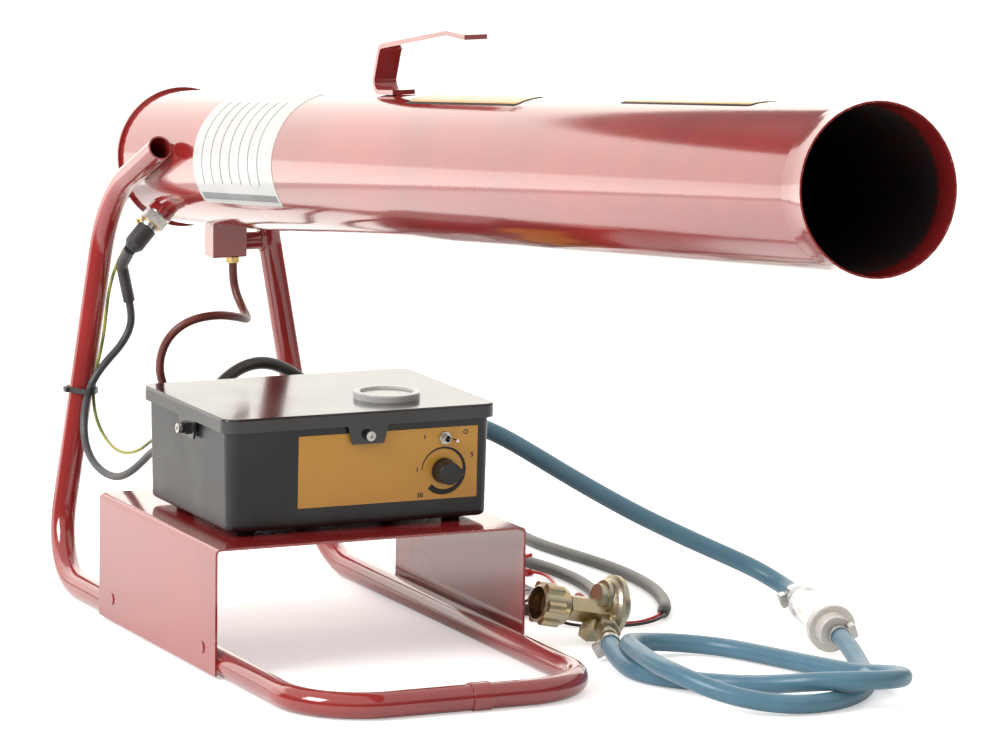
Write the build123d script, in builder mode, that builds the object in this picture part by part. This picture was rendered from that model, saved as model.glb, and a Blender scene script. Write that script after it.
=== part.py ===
from build123d import *
import os
from math import atan2, cos, pi, radians, sin, sqrt, tan

# Gas-fired bird scaring cannon on a bent tube stand, with a control box on a shelf.
# Millimetres, +Z up, muzzle towards -Y, origin on the floor under the middle of the rigid parts.
os.makedirs("parts", exist_ok=True)

# ---------------------------------------------------------------- driving dimensions
clearance = 0.3              # seat gap between curved faces that nearly touch
running_fit = 0.05           # radial play of a shaft in its bore
wall_seat = 0.5              # gap of a square face on a sloping wall, at its middle

barrel_od = 120.0
barrel_wall = 1.5
barrel_length = 1325.0
barrel_pitch = 6.2           # degrees, muzzle up
barrel_rear_height = 379.8   # of the barrel's axis at its closed end
barrel_rear_y = 657.13       # closed end; stand and box keep their places from here
lip_od = 125.0
lip_length = 32.0

cap_od = 125.2
cap_thickness = 3.0
cap_disc = 2.2
cap_rim = 3.2
cap_relief = 0.7             # of the inner face from the bore's end

tube_od = 22.0
tube_wall = 1.5
skid_x = 129.5               # centre line of each skid
skid_rear_y = 637.9
skid_front_y = 39.1
riser_top_x = 73.8
riser_top_y = 651.9
riser_top_drop = 31.3        # below the barrel's axis at its closed end
arm_end_y = 535.1
arm_end_rise = 26.2          # over the same height
top_bend = 78.0
rear_bend = 66.0
front_bend = 67.0
joint_x = 17.5               # where the two frame halves meet in the front bar
joint_ring_od = 24.6
joint_ring_width = 17.0
joint_ring_lift = 0.6        # the ring is open underneath, so that the bar stays on the floor

shelf_top_z = 110.9
shelf_rear_y = 491.9
shelf_depth = 271.2
shelf_gauge = 2.0
shelf_bend = 5.0
shelf_ground_gap = 2.7

handle_width = 20.0
handle_gauge = 4.0
handle_bend = 9.0
handle_foot_front_y = 166.0
handle_heel_y = 211.0
handle_knee_y = 195.0
handle_knee_rise = 150.7     # these three are over the barrel's axis at its closed end
handle_crest_y = 60.0
handle_crest_rise = 176.2
handle_tip_y = 24.1
handle_tip_rise = 176.7

box_width = 242.7            # outside, at the rim
box_depth = 186.3
box_centre_x = 4.45          # the box sits off the middle of the shelf
box_front_y = 257.6          # front wall at the rim
box_height = 94.2
box_draft = 1.2              # degrees, narrower towards the floor of the box
box_corner = 10.5
box_wall = 2.6
foot_height = 4.0
foot_od = 16.0
foot_inset = 24.0

lid_overhang = 4.2
lid_wall = 2.0
lid_top = 2.4
lid_skirt = 11.9
lid_corner = 13.0
gasket_thickness = 1.6
gasket_width = 2.0

tab_width = 37.5             # of the lid's tongues, at the root
tab_tip_width = 29.0
tab_length = 15.8
tab_gauge = 2.0
front_tab_x = 9.5
screw_drop = 8.3             # of the lid's screws below its skirt
side_tab_y = 341.0
screw_head_od = 8.4
screw_head = 3.2
screw_shank_od = 4.0
collar_od = 9.4

faceplate_left = -52.6
faceplate_right = 112.8
faceplate_top = 194.6
faceplate_bottom = 132.6
faceplate_gauge = 0.6
faceplate_corner = 0.8
switch_x = 82.0
switch_z = 185.6
knob_x = 81.5
knob_z = 157.0
knob_od = 22.4
knob_height = 15.0
knob_nose = 13.5             # reach of the pointer from the knob's axis
knob_gap = 0.8
shaft_od = 6.0
pot_od = 24.0
pot_depth = 9.0
bush_od = 9.0
bush_length = 5.0
switch_bush_od = 6.8
switch_bush_reach = 7.0
switch_body = (13.0, 8.0, 10.0)
lever_length = 18.0
lever_tip = 3.2
lever_tilt = 14.0            # degrees from straight out, OFF side

window_od = 57.5
window_height = 6.0
window_x = 51.6
window_y = 312.2
window_hole = 46.0

hose_od = 16.0
hose_bore = 8.0
chamber_hose_od = 7.5
ignition_od = 7.0
earth_od = 3.0
lead_od = 11.0
wire_od = 2.8

# ---------------------------------------------------------------- derived frames of reference
pitch_cos = cos(radians(barrel_pitch))
pitch_sin = sin(radians(barrel_pitch))
barrel_r = barrel_od / 2
barrel_bore_r = barrel_r - barrel_wall
lip_r = lip_od / 2
cap_r = cap_od / 2
barrel_rear = Vector(0, barrel_rear_y, barrel_rear_height)
barrel_dir = Vector(0, -pitch_cos, pitch_sin)
barrel_up = Vector(0, pitch_sin, pitch_cos)
barrel_axis = Axis(barrel_rear, barrel_dir)
# sketch plane for turned profiles: x is the radius, y runs from the closed end to the muzzle
barrel_section = Plane(origin=barrel_rear, x_dir=(1, 0, 0), z_dir=(0, -pitch_sin, -pitch_cos))


def on_barrel(distance, angle, radius):
    """Point at a distance from the closed end; the angle runs from the top to the left side."""
    out = barrel_up * cos(radians(angle)) + Vector(-1, 0, 0) * sin(radians(angle))
    return barrel_rear + barrel_dir * distance + out * radius


def barrel_plane(distance, angle, radius):
    """Plane whose z points straight out of the barrel and whose x points to the muzzle."""
    out = barrel_up * cos(radians(angle)) + Vector(-1, 0, 0) * sin(radians(angle))
    return Plane(origin=on_barrel(distance, angle, radius), x_dir=barrel_dir, z_dir=out)


def barrel_top_z(y):
    """Height of the barrel's top line at a place along Y."""
    return barrel_rear_height + (barrel_rear_y - y) * pitch_sin / pitch_cos + barrel_r / pitch_cos


# ---------------------------------------------------------------- barrel
plug_distance = 50.0         # spark plug, from the closed end
plug_angle = 137.0           # from the top towards the left side
plug_thread_od = 14.0
inlet_y = 554.0
inlet_hole_od = 10.0

with BuildPart() as barrel_tube:
    with BuildSketch(barrel_section):
        with BuildLine():
            Line((barrel_bore_r, 0), (barrel_r, 0))
            Line((barrel_r, 0), (barrel_r, barrel_length - lip_length))
            TangentArc((barrel_r, barrel_length - lip_length), (lip_r, barrel_length), tangent=(0, 1))
            Line((lip_r, barrel_length), (lip_r - barrel_wall, barrel_length))
            Line((barrel_bore_r, 0), (barrel_bore_r, barrel_length - lip_length))
            TangentArc(
                (barrel_bore_r, barrel_length - lip_length),
                (lip_r - barrel_wall, barrel_length),
                tangent=(0, 1),
            )
        make_face()
    revolve(axis=barrel_axis)
    with BuildSketch(barrel_plane(plug_distance, plug_angle, barrel_bore_r - 4)):
        Circle(plug_thread_od / 2 + clearance)
    extrude(amount=12, mode=Mode.SUBTRACT)
    with BuildSketch(Plane.XY.offset(barrel_rear_height - barrel_od)):
        with Locations((0, inlet_y)):
            Circle(inlet_hole_od / 2)
    extrude(amount=barrel_r + barrel_wall * 4, mode=Mode.SUBTRACT)
barrel_tube.part.label = "barrel_tube"
export_step(barrel_tube.part, "parts/barrel_tube.step")

# pressed end cap, welded on, with a raised rim
with BuildPart() as rear_cap:
    with BuildSketch(barrel_section):
        with BuildLine():
            Polyline(
                (0, -cap_disc),
                (cap_r - cap_rim - 1.5, -cap_disc),
                (cap_r - cap_rim, -cap_thickness),
                (cap_r, -cap_thickness),
                (cap_r, 0),
                (barrel_bore_r + clearance, 0),
                (barrel_bore_r + clearance, -cap_relief),
                (0, -cap_relief),
                (0, -cap_disc),
            )
        make_face()
    revolve(axis=barrel_axis)
rear_cap.part.label = "rear_cap"
export_step(rear_cap.part, "parts/rear_cap.step")

# ---------------------------------------------------------------- carrying handle
# One bent strap: a foot welded along the barrel, a leaning leg and a long open grip.
foot_lift = barrel_top_z(handle_foot_front_y) + handle_gauge / 2
heel_lift = barrel_top_z(handle_heel_y) + handle_gauge / 2
with BuildPart() as carry_handle:
    with BuildLine(Plane.YZ) as strap_route:
        FilletPolyline(
            (handle_foot_front_y, foot_lift),
            (handle_heel_y, heel_lift),
            (handle_knee_y, barrel_rear_height + handle_knee_rise),
            (handle_crest_y, barrel_rear_height + handle_crest_rise),
            (handle_tip_y, barrel_rear_height + handle_tip_rise),
            radius=handle_bend,
        )
    strap_start = strap_route.line @ 0
    with BuildSketch(Plane(origin=strap_start, x_dir=(1, 0, 0), z_dir=strap_route.line % 0)):
        Rectangle(handle_width, handle_gauge)
    sweep(path=strap_route.wire())
carry_handle.part.label = "carry_handle"
export_step(carry_handle.part, "parts/carry_handle.step")

# ---------------------------------------------------------------- stand
tube_r = tube_od / 2
riser_top_z = barrel_rear_height - riser_top_drop
arm_end_z = barrel_rear_height + arm_end_rise
arm_axis_z = barrel_rear_height + (barrel_rear_y - arm_end_y) * pitch_sin / pitch_cos
arm_rise = (arm_end_z - arm_axis_z) * pitch_cos
arm_end_x = sqrt((barrel_r + tube_r + clearance) ** 2 - arm_rise ** 2)

for label, side in (("frame_tube_left", -1), ("frame_tube_right", 1)):
    with BuildPart() as frame_tube:
        with BuildLine() as tube_route:
            FilletPolyline(
                (side * arm_end_x, arm_end_y, arm_end_z),
                (side * riser_top_x, riser_top_y, riser_top_z),
                (side * skid_x, skid_rear_y, tube_r),
                (side * skid_x, skid_front_y, tube_r),
                (joint_x, skid_front_y, tube_r),
                radius=(top_bend, rear_bend, front_bend),
            )
        with BuildSketch(Plane(origin=tube_route.line @ 0, z_dir=tube_route.line % 0)):
            Circle(tube_r)
            Circle(tube_r - tube_wall, mode=Mode.SUBTRACT)
        sweep(path=tube_route.wire())
    frame_tube.part.label = label
    export_step(frame_tube.part, f"parts/{label}.step")

with BuildPart() as frame_joint_ring:
    ring_start = joint_x - joint_ring_width / 2
    with BuildSketch(Plane(origin=(ring_start, skid_front_y, tube_r), z_dir=(1, 0, 0))):
        Circle(joint_ring_od / 2)
        Circle(tube_r, mode=Mode.SUBTRACT)
    extrude(amount=joint_ring_width)
    split(bisect_by=Plane.XY.offset(joint_ring_lift), keep=Keep.TOP)
frame_joint_ring.part.label = "frame_joint_ring"
export_step(frame_joint_ring.part, "parts/frame_joint_ring.step")

# ---------------------------------------------------------------- shelf
shelf_half = skid_x + tube_r + shelf_gauge
with BuildPart() as shelf:
    with BuildSketch(Plane.XZ.offset(-shelf_rear_y)):
        RectangleRounded(2 * shelf_half, 2 * shelf_top_z, shelf_bend)
        RectangleRounded(
            2 * (shelf_half - shelf_gauge),
            2 * (shelf_top_z - shelf_gauge),
            shelf_bend - shelf_gauge,
            mode=Mode.SUBTRACT,
        )
        with Locations((0, shelf_ground_gap)):
            Rectangle(3 * shelf_half, 2 * shelf_top_z, align=(Align.CENTER, Align.MAX), mode=Mode.SUBTRACT)
    extrude(amount=shelf_depth)
shelf.part.label = "shelf"
export_step(shelf.part, "parts/shelf.step")

# ---------------------------------------------------------------- welds
# fillets between each arm and the barrel, above and below the line of contact
weld_r = 4.5
weld_length = 44.0
weld_sides = 16
weld_facets = 48
spot_od = 11.0
spot_sides = 12
spot_rise = 0.9
spot_margin = 30.0
spot_rear_y = shelf_rear_y - spot_margin
spot_front_y = shelf_rear_y - shelf_depth + spot_margin
arm_start = Vector(arm_end_x, arm_end_y, arm_end_z)
arm_dir = (Vector(riser_top_x, riser_top_y, riser_top_z) - arm_start).normalized()
weld_middle = arm_start + arm_dir * (weld_length / 2 + 2) + Vector(-tube_r, 0, 0)
# The fillets have flat facets that touch the round tubes along their middles.
with BuildPart() as weld_beads:
    with BuildSketch(Plane(origin=weld_middle, z_dir=arm_dir)):
        RegularPolygon(weld_r, weld_sides)
    extrude(amount=weld_length / 2, both=True)
    with BuildSketch(Plane(origin=arm_start - arm_dir * 10, z_dir=arm_dir)):
        RegularPolygon(tube_r, weld_facets, major_radius=False)
    extrude(amount=weld_length * 2, mode=Mode.SUBTRACT)
    with BuildSketch(Plane(origin=barrel_rear, z_dir=barrel_dir)):
        RegularPolygon(barrel_r, 3 * weld_facets, major_radius=False)
    extrude(amount=barrel_length / 2, mode=Mode.SUBTRACT)
    # plug welds that hold the shelf's flange to the skid
    with BuildSketch(Plane(origin=(shelf_half, 0, tube_od), x_dir=(0, 1, 0), z_dir=(1, 0, 0))):
        with Locations((spot_front_y, 0), (spot_rear_y, 0)):
            RegularPolygon(spot_od / 2, spot_sides)
    extrude(amount=spot_rise)
    mirror(about=Plane.YZ)
weld_beads.part.label = "weld_beads"
export_step(weld_beads.part, "parts/weld_beads.step")

# ---------------------------------------------------------------- control box
draft_tan = tan(radians(box_draft))
box_floor_z = shelf_top_z + foot_height
rim_z = box_floor_z + box_height
box_centre_y = box_front_y + box_depth / 2
lid_under_z = rim_z + gasket_thickness
lid_top_z = lid_under_z + lid_top
lid_bottom_z = lid_top_z - lid_skirt


def wall_shrink(z):
    """How far a wall stands in from its place at the rim, at a height z."""
    return (rim_z - z) * draft_tan


def rear_wall_y(z):
    return box_front_y + box_depth - wall_shrink(z)


def right_wall_x(z):
    return box_centre_x + box_width / 2 - wall_shrink(z)


# plane on the front wall: x to the right, y up the wall, z straight out of it
front_plane = Plane(
    origin=(0, box_front_y + wall_shrink(box_floor_z), box_floor_z),
    x_dir=(1, 0, 0),
    z_dir=(0, -cos(radians(box_draft)), -sin(radians(box_draft))),
)


def up_front(z):
    """Distance up the front wall, from the floor of the box, of a height z."""
    return (z - box_floor_z) / cos(radians(box_draft))


gland_z = 188.0
gland_x = -46.0
gland_thread_od = 12.0
outlet_z = 179.0
outlet_x = -74.0
outlet_thread_od = 8.0
gas_port_y = 407.0
gas_port_z = 168.5
gas_port_od = 13.0
lead_hole_x = -97.0
lead_hole_z = 151.0
earth_hole_x = -93.0
earth_hole_z = 163.0
boss_size = 9.0
screw_z = lid_bottom_z - screw_drop

with BuildPart() as box_base:
    rim_plane = Plane(origin=(box_centre_x, box_centre_y, rim_z), x_dir=(1, 0, 0), z_dir=(0, 0, -1))
    with BuildSketch(rim_plane):
        RectangleRounded(box_width, box_depth, box_corner)
    extrude(amount=box_height, taper=box_draft)
    fillet(faces().sort_by(Axis.Z)[0].edges(), 5.0)
    with BuildSketch(rim_plane):
        RectangleRounded(box_width - 2 * box_wall, box_depth - 2 * box_wall, box_corner - box_wall)
    extrude(amount=box_height - box_wall, taper=box_draft, mode=Mode.SUBTRACT)
    # bosses that take the lid's screws
    with BuildSketch(Plane.XY.offset(screw_z - boss_size / 2)):
        with Locations((front_tab_x, box_front_y + box_wall + boss_size / 2)):
            Rectangle(boss_size, boss_size)
        for side in (-1, 1):
            with Locations((box_centre_x + side * (box_width / 2 - box_wall - boss_size / 2), side_tab_y)):
                Rectangle(boss_size, boss_size)
    extrude(amount=boss_size)
    # screw holes
    with BuildSketch(Plane.XZ.offset(-box_front_y + 2)):
        with Locations((front_tab_x, screw_z)):
            Circle(screw_shank_od / 2)
    extrude(amount=-boss_size, mode=Mode.SUBTRACT)
    for side in (-1, 1):
        hole_start = box_centre_x + side * (box_width / 2 + 2)
        with BuildSketch(Plane(origin=(hole_start, side_tab_y, screw_z), z_dir=(-side, 0, 0))):
            Circle(screw_shank_od / 2)
        extrude(amount=boss_size, mode=Mode.SUBTRACT)
    # switch and timer holes in the front wall
    with BuildSketch(front_plane.offset(2)):
        with Locations((switch_x, up_front(switch_z))):
            Circle(switch_bush_od / 2)
        with Locations((knob_x, up_front(knob_z))):
            Circle(bush_od / 2)
    extrude(amount=-(box_wall + 4), mode=Mode.SUBTRACT)
    # cable, lead and hose holes in the rear and right walls
    with BuildSketch(Plane.XZ.offset(-box_front_y - box_depth - 2)):
        with Locations((gland_x, gland_z)):
            Circle(gland_thread_od / 2)
        with Locations((outlet_x, outlet_z)):
            Circle(outlet_thread_od / 2)
        with Locations((lead_hole_x, lead_hole_z)):
            Circle(ignition_od / 2 + 1)
        with Locations((earth_hole_x, earth_hole_z)):
            Circle(earth_od / 2 + 1)
    extrude(amount=12, mode=Mode.SUBTRACT)
    port_start = box_centre_x + box_width / 2 + 2
    with BuildSketch(Plane(origin=(port_start, gas_port_y, gas_port_z), z_dir=(-1, 0, 0))):
        Circle(gas_port_od / 2)
    extrude(amount=12, mode=Mode.SUBTRACT)
box_base.part.label = "box_base"
export_step(box_base.part, "parts/box_base.step")

foot_x = box_width / 2 - wall_shrink(box_floor_z) - foot_inset
foot_y = box_depth / 2 - wall_shrink(box_floor_z) - foot_inset
with BuildPart() as box_feet:
    with BuildSketch(Plane.XY.offset(shelf_top_z)):
        with Locations((box_centre_x, box_centre_y)):
            with GridLocations(2 * foot_x, 2 * foot_y, 2, 2):
                Circle(foot_od / 2)
    extrude(amount=foot_height)
box_feet.part.label = "box_feet"
export_step(box_feet.part, "parts/box_feet.step")

with BuildPart() as lid_gasket:
    with BuildSketch(Plane(origin=(box_centre_x, box_centre_y, rim_z))):
        RectangleRounded(box_width, box_depth, box_corner)
        RectangleRounded(
            box_width - 2 * gasket_width,
            box_depth - 2 * gasket_width,
            box_corner - gasket_width,
            mode=Mode.SUBTRACT,
        )
    extrude(amount=gasket_thickness)
lid_gasket.part.label = "lid_gasket"
export_step(lid_gasket.part, "parts/lid_gasket.step")

lid_width = box_width + 2 * lid_overhang
lid_depth = box_depth + 2 * lid_overhang
lid_front_y = box_centre_y - lid_depth / 2
with BuildPart() as box_lid:
    with BuildSketch(Plane(origin=(box_centre_x, box_centre_y, lid_bottom_z))):
        RectangleRounded(lid_width, lid_depth, lid_corner)
    extrude(amount=lid_skirt)
    fillet(faces().sort_by(Axis.Z)[-1].edges(), 1.8)
    with BuildSketch(Plane(origin=(box_centre_x, box_centre_y, lid_bottom_z))):
        RectangleRounded(lid_width - 2 * lid_wall, lid_depth - 2 * lid_wall, lid_corner - lid_wall)
    extrude(amount=lid_skirt - lid_top, mode=Mode.SUBTRACT)
    # window hole
    with BuildSketch(Plane(origin=(window_x, window_y, lid_under_z - 1))):
        Circle(window_hole / 2)
    extrude(amount=lid_top + 2, mode=Mode.SUBTRACT)
    # tongues that hang from the skirt and take the screws
    front_tab = Plane(origin=(front_tab_x, lid_front_y, lid_bottom_z), x_dir=(1, 0, 0), z_dir=(0, 1, 0))
    left_tab = Plane(origin=(box_centre_x - lid_width / 2, side_tab_y, lid_bottom_z), x_dir=(0, 1, 0), z_dir=(1, 0, 0))
    right_tab = Plane(origin=(box_centre_x + lid_width / 2, side_tab_y, lid_bottom_z), x_dir=(0, 1, 0), z_dir=(-1, 0, 0))
    for tab_plane in (front_tab, left_tab, right_tab):
        down = -1 if tab_plane.y_dir.Z > 0 else 1
        with BuildSketch(tab_plane):
            with BuildLine():
                Polyline(
                    (-tab_width / 2, 0),
                    (-tab_tip_width / 2, down * tab_length),
                    (tab_tip_width / 2, down * tab_length),
                    (tab_width / 2, 0),
                    (-tab_width / 2, 0),
                )
            make_face()
            with Locations((0, down * (lid_bottom_z - screw_z))):
                Circle(screw_shank_od / 2, mode=Mode.SUBTRACT)
        extrude(amount=tab_gauge)
box_lid.part.label = "box_lid"
export_step(box_lid.part, "parts/box_lid.step")

# square clips and collars under the side screws
clip_gauge = 3.2
clip_size = (10.0, 12.0)
collar_length = 2.4
front_collar = 3.0
with BuildPart() as lid_clips:
    for side in (-1, 1):
        skirt_x = box_centre_x + side * lid_width / 2
        with BuildSketch(Plane(origin=(skirt_x, side_tab_y, screw_z), z_dir=(side, 0, 0))):
            RectangleRounded(clip_size[0], clip_size[1], 1.0)
            Circle(screw_shank_od / 2, mode=Mode.SUBTRACT)
        extrude(amount=clip_gauge)
        collar_x = skirt_x + side * clip_gauge
        with BuildSketch(Plane(origin=(collar_x, side_tab_y, screw_z), z_dir=(side, 0, 0))):
            Circle(collar_od / 2)
            Circle(screw_shank_od / 2, mode=Mode.SUBTRACT)
        extrude(amount=collar_length)
    with BuildSketch(Plane(origin=(front_tab_x, lid_front_y, screw_z), z_dir=(0, -1, 0))):
        Circle(collar_od / 2)
        Circle(screw_shank_od / 2, mode=Mode.SUBTRACT)
    extrude(amount=front_collar)
lid_clips.part.label = "lid_clips"
export_step(lid_clips.part, "parts/lid_clips.step")

screw_recess = 1.6
screw_recess_od = 4.0
with BuildPart() as lid_screws:
    side_head_reach = lid_width / 2 + clip_gauge + collar_length
    front_head = Plane(origin=(front_tab_x, lid_front_y - front_collar, screw_z), z_dir=(0, -1, 0))
    left_head = Plane(origin=(box_centre_x - side_head_reach, side_tab_y, screw_z), z_dir=(-1, 0, 0))
    right_head = Plane(origin=(box_centre_x + side_head_reach, side_tab_y, screw_z), z_dir=(1, 0, 0))
    boss_depth = boss_size - 3
    for head_plane, shank_length in (
        (front_head, lid_overhang + front_collar + boss_depth),
        (left_head, lid_overhang + clip_gauge + collar_length + boss_depth),
        (right_head, lid_overhang + clip_gauge + collar_length + boss_depth),
    ):
        with BuildSketch(head_plane):
            Circle(screw_head_od / 2)
        extrude(amount=screw_head)
        with BuildSketch(head_plane):
            Circle(screw_shank_od / 2)
        extrude(amount=-shank_length)
        with BuildSketch(head_plane.offset(screw_head)):
            RegularPolygon(screw_recess_od / 2, 6)
        extrude(amount=-screw_recess, mode=Mode.SUBTRACT)
lid_screws.part.label = "lid_screws"
export_step(lid_screws.part, "parts/lid_screws.step")

# light sensor window in the lid: a clear disc in a clear ring
with BuildPart() as sensor_ring:
    with BuildSketch(Plane(origin=(window_x, window_y, lid_top_z))):
        Circle(window_od / 2)
        Circle(window_hole / 2, mode=Mode.SUBTRACT)
    extrude(amount=window_height)
    fillet(edges().filter_by(GeomType.CIRCLE).group_by(Axis.Z)[-1], 1.2)
sensor_ring.part.label = "sensor_ring"
export_step(sensor_ring.part, "parts/sensor_ring.step")

with BuildPart() as sensor_window:
    with BuildSketch(Plane(origin=(window_x, window_y, lid_under_z))):
        Circle(window_hole / 2)
    extrude(amount=lid_top + window_height - 2.0)
sensor_window.part.label = "sensor_window"
export_step(sensor_window.part, "parts/sensor_window.step")

# ---------------------------------------------------------------- front panel
panel_width = faceplate_right - faceplate_left
panel_height = up_front(faceplate_top) - up_front(faceplate_bottom)
with BuildPart() as faceplate:
    with BuildSketch(front_plane):
        with Locations(((faceplate_left + faceplate_right) / 2, up_front(faceplate_bottom) + panel_height / 2)):
            RectangleRounded(panel_width, panel_height, faceplate_corner)
        with Locations((switch_x, up_front(switch_z))):
            Circle(switch_bush_od / 2, mode=Mode.SUBTRACT)
        with Locations((knob_x, up_front(knob_z))):
            Circle(bush_od / 2, mode=Mode.SUBTRACT)
        with Locations((front_tab_x, up_front(screw_z))):
            Circle(screw_shank_od / 2 + 1, mode=Mode.SUBTRACT)
    extrude(amount=faceplate_gauge)
faceplate.part.label = "faceplate"
export_step(faceplate.part, "parts/faceplate.step")

# toggle switch: body behind the wall, threaded bush with a hex nut, and a bat lever
switch_plane = Plane(
    origin=front_plane.from_local_coords(Vector(switch_x, up_front(switch_z), faceplate_gauge)),
    x_dir=front_plane.x_dir,
    z_dir=front_plane.z_dir,
)
lever_pivot = 1.2            # height of the pivot over the panel
lever_ball_r = 1.6
lever_neck_angle = 50.0
throat_flare = 11.0          # degrees
switch_nut = 10.0
switch_nut_height = 2.2
with BuildPart() as toggle_switch:
    with BuildSketch(switch_plane.offset(-box_wall - faceplate_gauge)):
        Circle(switch_bush_od / 2)
    extrude(amount=switch_bush_reach + box_wall + faceplate_gauge)
    with BuildSketch(switch_plane):
        RegularPolygon(switch_nut / 2, 6, major_radius=False)
    extrude(amount=switch_nut_height)
    with BuildSketch(switch_plane.offset(-box_wall - faceplate_gauge)):
        Rectangle(switch_body[0], switch_body[1])
    extrude(amount=-switch_body[2])
    # tapered throat for the lever, over a round socket
    with BuildSketch(switch_plane.offset(lever_pivot)):
        Circle(lever_ball_r + running_fit)
    extrude(amount=-lever_ball_r - running_fit, mode=Mode.SUBTRACT)
    with BuildSketch(switch_plane.offset(lever_pivot)):
        Circle(lever_ball_r + running_fit)
    extrude(amount=switch_bush_reach - lever_pivot, taper=-throat_flare, mode=Mode.SUBTRACT)
toggle_switch.part.label = "toggle_switch"
export_step(toggle_switch.part, "parts/toggle_switch.step")

lever_dir = (
    switch_plane.z_dir * cos(radians(lever_tilt)) + switch_plane.x_dir * sin(radians(lever_tilt))
)
lever_base = switch_plane.origin + switch_plane.z_dir * lever_pivot
lever_section = Plane(origin=lever_base, x_dir=switch_plane.y_dir, z_dir=switch_plane.y_dir.cross(lever_dir))
with BuildPart() as toggle_lever:
    with BuildSketch(lever_section):
        with BuildLine():
            CenterArc((0, 0), lever_ball_r, -90, 90 + lever_neck_angle)
            Polyline(
                (lever_ball_r * cos(radians(lever_neck_angle)), lever_ball_r * sin(radians(lever_neck_angle))),
                (lever_tip / 2, lever_length - 2),
                (lever_tip / 2, lever_length - 0.8),
                (lever_tip / 2 - 0.8, lever_length),
                (0, lever_length),
                (0, -lever_ball_r),
            )
        make_face()
    revolve(axis=Axis(lever_base, lever_dir))
toggle_lever.part.label = "toggle_lever"
export_step(toggle_lever.part, "parts/toggle_lever.step")

# interval timer: potentiometer behind the wall, shaft and pointer knob in front
knob_plane = Plane(
    origin=front_plane.from_local_coords(Vector(knob_x, up_front(knob_z), faceplate_gauge)),
    x_dir=front_plane.x_dir,
    z_dir=front_plane.z_dir,
)
pot_nut = 12.0
pot_nut_height = 2.2
shaft_reach = 12.5
with BuildPart() as timer_pot:
    with BuildSketch(knob_plane.offset(-box_wall - faceplate_gauge)):
        Circle(bush_od / 2)
    extrude(amount=bush_length + box_wall + faceplate_gauge)
    with BuildSketch(knob_plane):
        RegularPolygon(pot_nut / 2, 6, major_radius=False)
    extrude(amount=pot_nut_height)
    with BuildSketch(knob_plane.offset(-box_wall - faceplate_gauge)):
        Circle(pot_od / 2)
    extrude(amount=-pot_depth)
    with BuildSketch(knob_plane.offset(bush_length)):
        Circle(shaft_od / 2 + running_fit)
    extrude(amount=-(bush_length + box_wall + pot_depth * 0.6), mode=Mode.SUBTRACT)
timer_pot.part.label = "timer_pot"
export_step(timer_pot.part, "parts/timer_pot.step")

with BuildPart() as timer_shaft:
    with BuildSketch(knob_plane.offset(shaft_reach)):
        Circle(shaft_od / 2)
    extrude(amount=-(shaft_reach + box_wall + pot_depth * 0.5))
timer_shaft.part.label = "timer_shaft"
export_step(timer_shaft.part, "parts/timer_shaft.step")

knob_skirt_height = 2.4
knob_body_od = knob_od * 0.92
knob_nose_width = 7.0
knob_edge = 1.2
with BuildPart() as timer_knob:
    with BuildSketch(knob_plane.offset(knob_gap)):
        Circle(knob_od / 2)
    extrude(amount=knob_skirt_height, taper=6)
    # round body drawn out into a blunt pointer, closed over the end of the shaft
    with BuildSketch(knob_plane.offset(knob_gap + knob_skirt_height)):
        Circle(knob_body_od / 2)
        with Locations((knob_nose - knob_nose_width / 2, 0)):
            Circle(knob_nose_width / 2)
        make_hull()
    extrude(amount=knob_height - knob_skirt_height, taper=3)
    fillet(faces().sort_by(Axis(knob_plane.origin, knob_plane.z_dir))[-1].edges(), knob_edge)
    with BuildSketch(knob_plane.offset(knob_gap)):
        Circle(pot_nut * 0.62)
    extrude(amount=bush_length, mode=Mode.SUBTRACT)
    with BuildSketch(knob_plane.offset(knob_gap)):
        Circle(shaft_od / 2)
    extrude(amount=shaft_reach - knob_gap, mode=Mode.SUBTRACT)
timer_knob.part.label = "timer_knob"
export_step(timer_knob.part, "parts/timer_knob.step")

# ---------------------------------------------------------------- inside the box
board_gauge = 1.6
board_size = (96.0, 120.0)
board_x = 56.0
standoff_height = 6.0
standoff_od = 6.0
inner_floor_z = box_floor_z + box_wall
with BuildPart() as circuit_board:
    with BuildSketch(Plane(origin=(board_x, box_centre_y, inner_floor_z))):
        with GridLocations(board_size[0] - 12, board_size[1] - 12, 2, 2):
            Circle(standoff_od / 2)
    extrude(amount=standoff_height)
    board_plane = Plane(origin=(board_x, box_centre_y, inner_floor_z + standoff_height))
    with BuildSketch(board_plane):
        Rectangle(*board_size)
    extrude(amount=board_gauge)
    # relay, capacitor and terminal strip
    with BuildSketch(board_plane.offset(board_gauge)):
        with Locations((-22, 30)):
            Rectangle(16, 20)
        with Locations((18, 24)):
            Circle(9)
        with Locations((0, -48)):
            Rectangle(60, 9)
    extrude(amount=14)
circuit_board.part.label = "circuit_board"
export_step(circuit_board.part, "parts/circuit_board.step")

coil_size = (44.0, 52.0, 46.0)
coil_x = -78.0
coil_y = 362.0
coil_tower_od = 18.0
with BuildPart() as ignition_coil:
    with BuildSketch(Plane(origin=(coil_x, coil_y, inner_floor_z))):
        RectangleRounded(coil_size[0], coil_size[1], 5)
    extrude(amount=coil_size[2])
    fillet(faces().sort_by(Axis.Z)[-1].edges(), 3)
    with BuildSketch(Plane(origin=(coil_x, coil_y, inner_floor_z + coil_size[2]))):
        Circle(coil_tower_od / 2)
    extrude(amount=14, taper=6)
ignition_coil.part.label = "ignition_coil"
export_step(ignition_coil.part, "parts/ignition_coil.step")

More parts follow.
